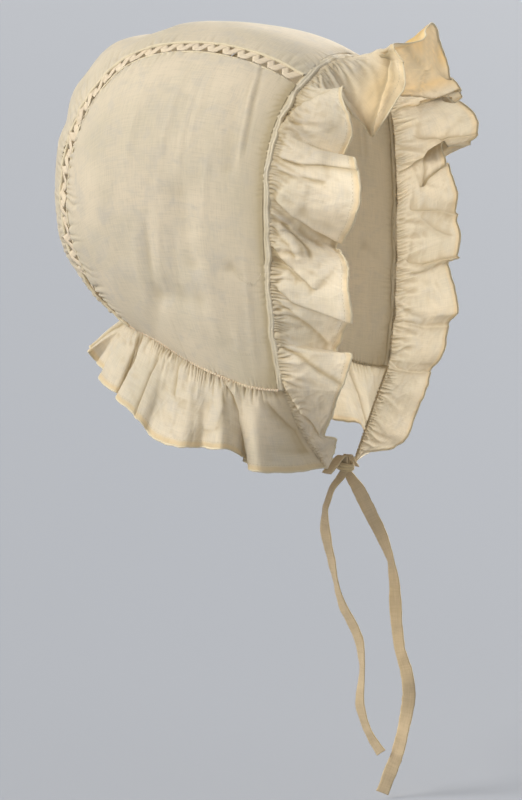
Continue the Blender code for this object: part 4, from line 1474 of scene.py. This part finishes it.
def route_distance(places, deep, route):
    """Signed distance in millimetres from a route on the flat ruffle, and how far along it, 0 to 1."""
    stops = np.array(route, float)
    reach = lengths(stops)
    best = np.full(places.shape, 1e9)
    signed = np.zeros(places.shape)
    part = np.zeros(places.shape)
    for k in range(len(stops) - 1):
        step = stops[k + 1] - stops[k]
        share = ((places - stops[k, 0]) * step[0] + (deep - stops[k, 1]) * step[1]) / (step @ step)
        share = np.clip(share, 0, 1)
        dx = places - stops[k, 0] - share * step[0]
        dy = deep - stops[k, 1] - share * step[1]
        away = np.hypot(dx, dy)
        nearer = away < best
        best = np.where(nearer, away, best)
        signed = np.where(nearer, away * np.sign(step[1] * dx - step[0] * dy), signed)
        part = np.where(nearer, (reach[k] + share * (reach[k + 1] - reach[k])) / reach[-1], part)
    return signed, part


def laps(places, out, depth, table):
    """Rise, slide along the seam and shade of the laps in a table.

    A row holds the side that lies on top (1 for greater places), its height, how far it laps over,
    and a route of (place, share of depth).
    """
    rise = np.zeros(places.shape)
    slide = np.zeros(places.shape)
    shade = np.zeros(places.shape)
    for top, height, over_lap, route in table:
        flat_route = [(place, share * depth) for place, share in route]
        signed, part = route_distance(places, out * depth, flat_route)
        side = top * signed
        length = lengths(np.array(flat_route, float))[-1]
        inside = ease(part * length / 4) * ease((1 - part) * length / 4)
        above = np.maximum(side, 0)
        below = np.maximum(-side, 0)
        proud = (1 - np.exp(-above / LAP_EDGE)) * np.exp(-above / LAP_REACH)
        under = (1 - np.exp(-below / LAP_EDGE)) * np.exp(-below / UNDER_REACH)
        rise = rise + height * inside * (proud - LAP_DIP * under)
        slide = slide - top * over_lap * inside * bell(side - 1.0, 1.5)
        shade = shade + inside * bell(side + 1.2, 1.6) * min(1, 0.3 + abs(height) / 2.5)
    return rise, slide, np.clip(shade, 0, 1)


# %% Grid of a ruffle
UNDER_SHARE = 0.035
UNDER_BAND = 2.0
END_REACH = 12
EDGE_WAVE = 0.8
EDGE_RIPPLE = 0.5


def ruffle_grid(line, folds, reach, turn, share, out, depth, table, lean, fans, seed):
    """Points of a ruffle with gathers and laps, its normals, and the shade of its laps.

    line is its seam, reach the direction of its depth, and turn is 1 or -1 for its outer side.
    """
    half = lengths(line)[-1] / 2
    places = half * (2 * share - 1)
    seam, tangent = read_line(line, places.ravel())
    seam = seam.reshape(*share.shape, 3)
    tangent = tangent.reshape(*share.shape, 3)
    tangent = unit(tangent - (tangent @ reach)[..., None] * reach)
    outward = turn * np.cross(reach, tangent)
    row = (2 * share - 1) * abs(folds[0][0])
    forward, lean_out, slide = (curve(folds, row, column) for column in (1, 2, 3))
    spread_out = np.maximum(out, 0)
    forward = forward + EDGE_WAVE * noise_map(places / 5, 0.5, seed + 9) * out**3
    forward = forward + EDGE_RIPPLE * noise_map(places / 2.2, 0.5, seed + 10) * out**8
    travel = np.where(out < 0, UNDER_BAND * out / UNDER_SHARE, forward * out)
    points = seam + travel[..., None] * reach
    points = points + (lean_out * spread_out**LEAN_POWER)[..., None] * outward
    points = points + (slide * spread_out)[..., None] * tangent
    normal = grid_normals(points)
    normal = normal * np.sign(np.sum(normal * outward, axis=-1, keepdims=True))
    rise, push, shade = laps(row, out, depth, table)
    end = ease((half - np.abs(places)) / END_REACH)
    rise = rise + gathers(places, out, half, lean * np.sign(places), fans, seed) * end
    points = points + rise[..., None] * normal + push[..., None] * tangent
    return points, normal, shade


# %% Make a ruffle and its hem
HEM_SHARE = 0.065
HEM_COLOUR = 0.4
ROLL_SIZE = (1.3, 0.75)


def add_ruffle(name, points, normal, shade, out, node, seed, gold=0.0):
    """A ruffle's cloth with shaded gathers, and the roll along its free edge.

    gold is the share of a golden tint on the cloth, given in the hem's colour.
    """
    # Painted shade in hollows, along the tight gathers at the seam and under the laps' edges.
    shade_and_tone = 0.6 * hollowness(points, normal, 3, 0.15) + 0.35 * hollowness(points, normal, 30, 1.4)
    shade_and_tone = np.clip(0.8 * shade_and_tone + 0.45 * bell(out, 0.09) + 0.6 * shade, 0, 1)
    hem = np.maximum(ease((out - (1 - HEM_SHARE)) / 0.012) * HEM_COLOUR, gold)
    piece = cloth(name, points, shade_and_tone=shade_and_tone, hem=hem)
    finish(piece, ruffle_cotton, [node])
    depthwise = unit(points[-1] - points[-4])
    path = points[-1] - depthwise * (0.25 * ROLL_SIZE[0])
    # A light painted shade on the hem roll.
    roll = {"unevenness": 0.12, "shade_and_tone": 0.1}
    add_roll(name + "_hem", path, normal[-2], ROLL_SIZE, "ruffle_cloth", seed, **roll)


# %% Laps of the face ruffle
# Rows: side on top, its height, its overlap, and the route of (place, share of the depth)
FACE_LAPS = [
    (-1, 2.8, 1.6, [(-81, -0.05), (-69, 0.05), (-61, 0.18), (-54, 0.43), (-50, 0.78), (-49, 1.12)]),
    (1, 1.7, 1.5, [(-93, 0.04), (-94, 0.35), (-92, 0.6), (-91, 0.95), (-91, 1.12)]),
    (1, 0.9, 0.5, [(-100, 0.02), (-101, 0.3), (-100, 0.65)]),
    (1, 2.6, 2.2, [(-114, 0.02), (-121, 0.25), (-126, 0.55), (-129, 0.95), (-130, 1.12)]),
    (1, 2.2, 1.8, [(-141, 0.0), (-148, 0.18), (-151, 0.28), (-157, 0.44), (-163, 0.6)]),
    (-1, 1.1, 0.7, [(-128, 0.1), (-130, 0.22), (-134, 0.36), (-140, 0.48), (-147, 0.52)]),
    (1, 0.9, 0.6, [(-135, 0.12), (-139, 0.26), (-145, 0.33), (-150, 0.34)]),
    (-1, 0.8, 0.5, [(-134, 0.28), (-140, 0.4), (-147, 0.44)]),
    (1, 0.9, 0.6, [(-130, 0.03), (-133, 0.12), (-137, 0.16)]),
    (1, 1.3, 1.0, [(-146, 0.02), (-151, 0.2), (-160, 0.42)]),
    (1, 2.2, 1.8, [(-163, 0.02), (-170, 0.28), (-173, 0.6), (-176, 0.95), (-177, 1.12)]),
    (1, 1.0, 0.7, [(-171, 0.02), (-179, 0.35), (-191, 0.9)]),
    (-1, 1.5, 1.2, [(-198, 0.0), (-205, 0.3), (-213, 0.58), (-220, 0.95), (-223, 1.12)]),
    (1, 2.2, 1.2, [(-216, -0.02), (-238, 0.18), (-255, 0.8)]),
    (1, 4.0, 2.2, [(4, 0.8), (-3, 0.74), (-9, 0.76), (-15, 0.82), (-21, 0.93), (-26, 1.15)]),
    (-1, -2.6, 2.0, [(58, 0.05), (62, 0.2), (65, 0.45), (70, 0.7), (73, 0.95), (74, 1.12)]),
    (-1, -1.7, 1.2, [(32, 0.84), (41, 0.76), (47, 0.69), (45, 0.62), (38, 0.56), (28, 0.55)]),
    (-1, -2.6, 1.6, [(28, 1.12), (34, 0.95), (41, 0.86), (48, 0.81),
                     (54, 0.84), (58, 0.93), (61, 1.12)]),
    (-1, -2.2, 1.8, [(92, 0.2), (96, 0.35), (99, 0.6), (102, 0.85), (103, 1.12)]),
    (-1, -2.4, 1.4, [(96, 0.5), (108, 0.62), (118, 0.6), (127, 0.46)]),
    (-1, -2.4, 2.0, [(127, 0.4), (123, 0.6), (122, 0.85), (122, 1.12)]),
    (-1, -2.4, 2.0, [(134, 0.15), (138, 0.4), (142, 0.66), (147, 0.9), (149, 1.12)]),
    (-1, -1.2, 0.7, [(141, 0.3), (151, 0.6), (158, 0.9)]),
    (-1, -2.8, 2.4, [(162, 0.1), (166, 0.4), (166, 0.68), (167, 0.9), (168, 1.12)]),
    (-1, -1.6, 1.2, [(196, 0.1), (201, 0.5), (203, 1.12)]),
    (-1, -1.4, 1.0, [(222, 0.1), (225, 0.5), (226, 1.12)]),
]
print(len(FACE_LAPS), "laps on the face ruffle")

# %% Face ruffle
FACE_GRID = (1300, 36)
FACE_DEPTH = 45.0
FACE_LEAN = 6.0
# Columns: place on the seam and half width, share of the depth and half width in millimetres,
# depth in millimetres, darkness
FACE_HOLLOWS = [
    (0.5, 4.0, 0.76, 5.5, 4.5, 1.3),
    (-149, 5.5, 0.1, 4.5, 2.0, 1.2),
    # This row is painted shade only, with no depth.
    (-66, 13, 0.08, 7, 0.0, 0.7),
]

share, out = grid(*FACE_GRID, low=-UNDER_SHARE)
forward_reach = np.array([0.0, -1.0, 0.0])
shape = (share, out, FACE_DEPTH, FACE_LAPS, FACE_LEAN, 1.0, 81)
points, normal, shade = ruffle_grid(face_seam(), FACE_FOLDS, forward_reach, 1, *shape)
row = (2 * share - 1) * FACE_FOLDS[-1][0]
sink = np.zeros(row.shape)
for place, half_width, level, half_deep, depth, darkness in FACE_HOLLOWS:
    hollow = bell(row - place, half_width) * bell((out - level) * FACE_DEPTH, half_deep)
    sink = sink + depth * hollow
    shade = shade + darkness * hollow
points = points - sink[..., None] * normal
shade = np.clip(shade, 0, 1)
# A golden tint over the top lobes and beside the hem near the top, given with the hem's colour.
gold = ease((row - 6) / 8) * ease((66 - row) / 8) * (0.75 + 0.4 * noise_map(row / 9, out * 3, 85))
gold = np.clip(gold + 0.5 * bell(row + 12, 13) * bell(out - 0.75, 0.3), 0, 1)
add_ruffle("face_frill", points, normal, shade, out, "face_ruffle", 83, gold)
face_points, face_normal = points, normal

# %% Neck ruffle
NECK_GRID = (820, 36)
NECK_DEPTH = 46.0
NECK_LEAN = 4.0
NECK_FANS = 0.6
CHIN_REACH = 16.0
END_DARK = (0.8, 7)
NECK_LAPS = [
    (-1, 2.0, 1.6, [(-84, 0.02), (-79, 0.45), (-78, 0.85), (-78, 1.12)]),
    (-1, 1.0, 0.6, [(-96, 0.05), (-99, 0.5)]),
    (-1, 2.2, 1.8, [(-127, 0.02), (-134, 0.2), (-139, 0.53), (-141, 0.8), (-142, 1.12)]),
    (1, 0.9, 0.6, [(-125, 0.1), (-126, 0.43), (-123, 0.8)]),
    (-1, 0.9, 0.7, [(-150, 0.1), (-158, 0.5), (-158, 0.85)]),
    (1, 1.6, 1.2, [(-58, 0.02), (-55, 0.5), (-54, 1.12)]),
    (1, 1.6, 1.2, [(-22, 0.02), (-20, 0.5), (-17, 1.12)]),
    (-1, 1.6, 1.2, [(20, 0.02), (19, 0.5), (18, 1.12)]),
    (-1, 1.8, 1.4, [(58, 0.02), (56, 0.5), (55, 1.12)]),
    (1, 2.0, 1.6, [(98, 0.02), (101, 0.45), (103, 1.12)]),
    (-1, 1.8, 1.4, [(130, 0.02), (136, 0.45), (139, 1.12)]),
]

share, out = grid(*NECK_GRID)
down = np.array([0.0, 0.0, -1.0])
falls = [(place, drop, lean, slide) for place, lean, drop, slide in NECK_FOLDS]
shape = (share, out, NECK_DEPTH, NECK_LAPS, NECK_LEAN, NECK_FANS, 91)
points, normal, shade = ruffle_grid(neck_seam(), falls, down, -1, *shape)
row = (2 * share - 1) * NECK_FOLDS[-1][0]
bow = NAPE_BOW * np.sin(np.pi * out) * bell(row, NAPE_BOW_REACH)
points = points - bow[..., None] * down
# The two ends are sewn under the face ruffle, on the line from the corner to the chin.
chin_line = face_seam()[:CHIN_STEPS]
chin_places = np.linspace(1, 0, CHIN_STEPS)
for side in (-1, 1):
    meet = np.stack([np.interp(out, chin_places[::-1], chin_line[::-1, k]) for k in range(3)], -1)
    meet = meet * np.array([-side, 1, 1]) + np.array([0, 0.6, 0.6])
    end = points[:, :1] if side < 0 else points[:, -1:]
    pull = ease(1 - (NECK_FOLDS[-1][0] - side * row) / CHIN_REACH)
    points = points + pull[..., None] * (meet[:, :1] - end)
end_shade = END_DARK[0] * bell(NECK_FOLDS[-1][0] - np.abs(row), END_DARK[1])
shade = np.clip(shade + end_shade, 0, 1)
add_ruffle("neck_frill", points, normal, shade, out, "neck_ruffle", 93)

# %% [markdown]
# ## Sewing thread
# The cap is sewn by hand, so its stitches can be seen: whip stitches over the neck seam in a pinkish
# thread, and a line of small running stitches along each hem. A stitch repeats along a path, so one
# tree makes them all. It spaces points along the path, puts a small bead of thread on each, and turns
# the beads along a direction that the path carries.

# %% A tree for stitches
BEAD = {"Segments": 6, "Rings": 5, "Radius": 0.5}


def stitch_tree():
    """Beads of thread along a path."""
    sockets = [
        ("Pitch", "NodeSocketFloat"),
        ("Stitch Length", "NodeSocketFloat"),
        ("Thread", "NodeSocketFloat"),
        ("Unevenness", "NodeSocketFloat"),
        ("Seed", "NodeSocketInt"),
        ("Cotton", "NodeSocketMaterial"),
    ]
    tree, given, result = tree_with_inputs("stitches", sockets)
    path = put(tree, "GeometryNodeMeshToCurve", None, {"Mesh": given["Geometry"]}).outputs[0]
    spaced = {"Curve": path, "Length": given["Pitch"]}
    points = put(tree, "GeometryNodeResampleCurve", {"mode": "LENGTH"}, spaced).outputs[0]
    bead = put(tree, "GeometryNodeMeshUVSphere", None, BEAD).outputs[0]
    align_inputs = {"Vector": path_attribute(tree, "run")}
    turned = put(tree, "FunctionNodeAlignRotationToVector", {"axis": "Z"}, align_inputs).outputs[0]
    low = calculate(tree, "SUBTRACT", 1.0, given["Unevenness"])
    high = calculate(tree, "ADD", 1.0, given["Unevenness"])
    chance = put(tree, "FunctionNodeRandomValue", {"data_type": "FLOAT"})
    tree.links.new(low, chance.inputs[2])
    tree.links.new(high, chance.inputs[3])
    tree.links.new(given["Seed"], chance.inputs["Seed"])
    long = calculate(tree, "MULTIPLY", given["Stitch Length"], chance.outputs[1])
    sizes = {0: given["Thread"], 1: given["Thread"], 2: long}
    size = put(tree, "ShaderNodeCombineXYZ", None, sizes).outputs[0]
    laid_inputs = {"Points": points, "Instance": bead, "Rotation": turned, "Scale": size}
    laid = put(tree, "GeometryNodeInstanceOnPoints", None, laid_inputs).outputs[0]
    real = put(tree, "GeometryNodeRealizeInstances", None, {"Geometry": laid}).outputs[0]
    set_material(tree, real, given["Cotton"], result)
    return tree


stitches = stitch_tree()
print("tree", stitches.name, "with", len(stitches.nodes), "nodes")


# %% Stitches along a path
STITCH_UNEVENNESS = 0.25


def add_stitches(name, path, run, pitch, length, thread, seed, slot, material=sewing_cotton):
    """Stitches along a path. run is the direction of the thread at each point of the path."""
    values = {
        "Pitch": pitch * MM,
        "Stitch Length": length * MM,
        "Thread": thread * MM,
        "Unevenness": STITCH_UNEVENNESS,
        "Seed": seed,
        "Cotton": material,
    }
    made = run_tree(name, stitches, [path], {"run": [run]}, values)
    made.data.uv_layers.new(name="weave")
    finish(made, material)


# %% Sew the seams and hems
neck_line = neck_seam()
neck_run = directions(neck_line)
neck_out = np.cross(neck_run, down)
neck_out = neck_out * np.sign(np.sum(neck_out * away_from_head(neck_line), axis=1))[:, None]
cord_line = neck_line + neck_out * 0.5 + down * 0.3
add_roll("neck_seam_roll", cord_line, neck_out, (1.7, 1.3), "ruffle_cloth", 57)
whip_line = cord_line + neck_out * 0.55
whip_run = down + 0.45 * neck_run
whip = (1.5, 2.2, 0.6, 3)
add_stitches("neck_whip_stitches", whip_line, whip_run, *whip, "ruffle_cloth")

ruffles = (("face", face_points, face_normal, 5), ("neck", points, normal, 6))
for name, cloth_points, cloth_normal, seed in ruffles:
    level = -1 - round((HEM_SHARE + 0.01) * (cloth_points.shape[0] - 1))
    hem_line = cloth_points[level] + cloth_normal[level] * 0.25
    running = (2.2, 1.3, 0.32, seed)
    hem_name = name + "_hem_stitches"
    add_stitches(hem_name, hem_line, directions(hem_line), *running, "ruffle_cloth", seam_cotton)

# %% Darn on the right side panel
DARN = [(-58, -131), (-62, -137), (-71, -140), (-75, -134)]
MENDED_LINE = [(-54, -179), (-60, -179.5), (-71, -178)]
# Columns: name, line, seed, length of a stitch, slant of the stitches
MENDS = [
    ("darn", DARN, 8, 1.9, np.array([0, 0.3, 0.9])),
    ("mended_line", MENDED_LINE, 9, 1.0, np.zeros(3)),
]


def lay_on(surface, places):
    """Points just above a panel at places given as (y, z)."""
    cloth_points, cloth_normal = surface
    flat = cloth_points.reshape(-1, 3)
    nearest = [int(np.argmin(np.hypot(flat[:, 1] - y, flat[:, 2] - z))) for y, z in places]
    return flat[nearest] + 0.2 * cloth_normal.reshape(-1, 3)[nearest]


for name, stops, seed, long, slant in MENDS:
    stops = np.array(stops, float)
    reached = lengths(stops)
    fine = np.linspace(0, reached[-1], 40)
    places = [[np.interp(step, reached, stops[:, k]) for k in (0, 1)] for step in fine]
    line = lay_on(side_surface["right"], places)
    run = directions(line) + slant
    add_stitches(name + "_stitches", line, run, 1.3, long, 0.3, seed, "cloth", seam_cotton)

# %% [markdown]
# ## Floor and light
# The cap is shown over a plain pale floor that reaches far beyond the picture. Wide soft lamps stand
# far away, so they light the whole floor evenly. The main one shines from behind the wearer's right
# shoulder and models the folds. One from the left shines through the far ruffle, which is a single
# thin cloth and glows, and one near the camera keeps the shadows open.

# %% Floor
FLOOR_DROP = 2.0
FLOOR_HALF_SIZE = 45.0
FLOOR_GREY = (0.306, 0.318, 0.342)

floor_z = cad_box[0][2] - FLOOR_DROP * MM
ends = (-FLOOR_HALF_SIZE, FLOOR_HALF_SIZE)
corners = [(x, y, floor_z) for x in ends for y in ends]
floor_mesh = bpy.data.meshes.new("floor")
floor_mesh.from_pydata(corners, [], [(0, 2, 3, 1)])
floor = link(bpy.data.objects.new("floor", floor_mesh))
paper = bpy.data.materials.new("floor_paper")
paper.use_nodes = True
paper_inputs = paper.node_tree.nodes["Principled BSDF"].inputs
paper_inputs["Base Color"].default_value = (*FLOOR_GREY, 1)
paper_inputs["Roughness"].default_value = 0.9
floor_mesh.materials.append(paper)
print("floor", round(2 * FLOOR_HALF_SIZE), "m wide, at z", round(floor_z, 4))

# %% Lights
SKY_COLOUR = (0.93, 0.95, 1.0)
SKY_STRENGTH = 0.48


def add_lamp(name, azimuth, elevation, spread_angle, strength, colour=(1, 1, 1)):
    """A far lamp with a wide soft disc, placed by its direction from the cap."""
    a, e = math.radians(azimuth), math.radians(elevation)
    towards = Vector((math.sin(a) * math.cos(e), -math.cos(a) * math.cos(e), math.sin(e)))
    data = bpy.data.lights.new(name, "SUN")
    data.angle = math.radians(spread_angle)
    data.energy = strength
    data.color = colour
    lamp = bpy.data.objects.new(name, data)
    lamp.location = VIEW_AIM + towards
    lamp.rotation_mode = "QUATERNION"
    lamp.rotation_quaternion = towards.to_track_quat("Z", "Y")
    link(lamp)
    print("lamp", name, "at", azimuth, "degrees round and", elevation, "up, strength", strength)


add_lamp("key", -132, 34, 26, 2.5, (1.0, 0.99, 0.96))
add_lamp("left", 83, 8, 35, 7.0)
add_lamp("near_camera", -86, 12, 60, 0.75)
world = bpy.data.worlds.new("studio")
world.use_nodes = True
sky = world.node_tree.nodes["Background"].inputs
sky["Color"].default_value = (*SKY_COLOUR, 1)
sky["Strength"].default_value = SKY_STRENGTH
bpy.context.scene.world = world
bpy.context.scene.view_settings.view_transform = "Standard"
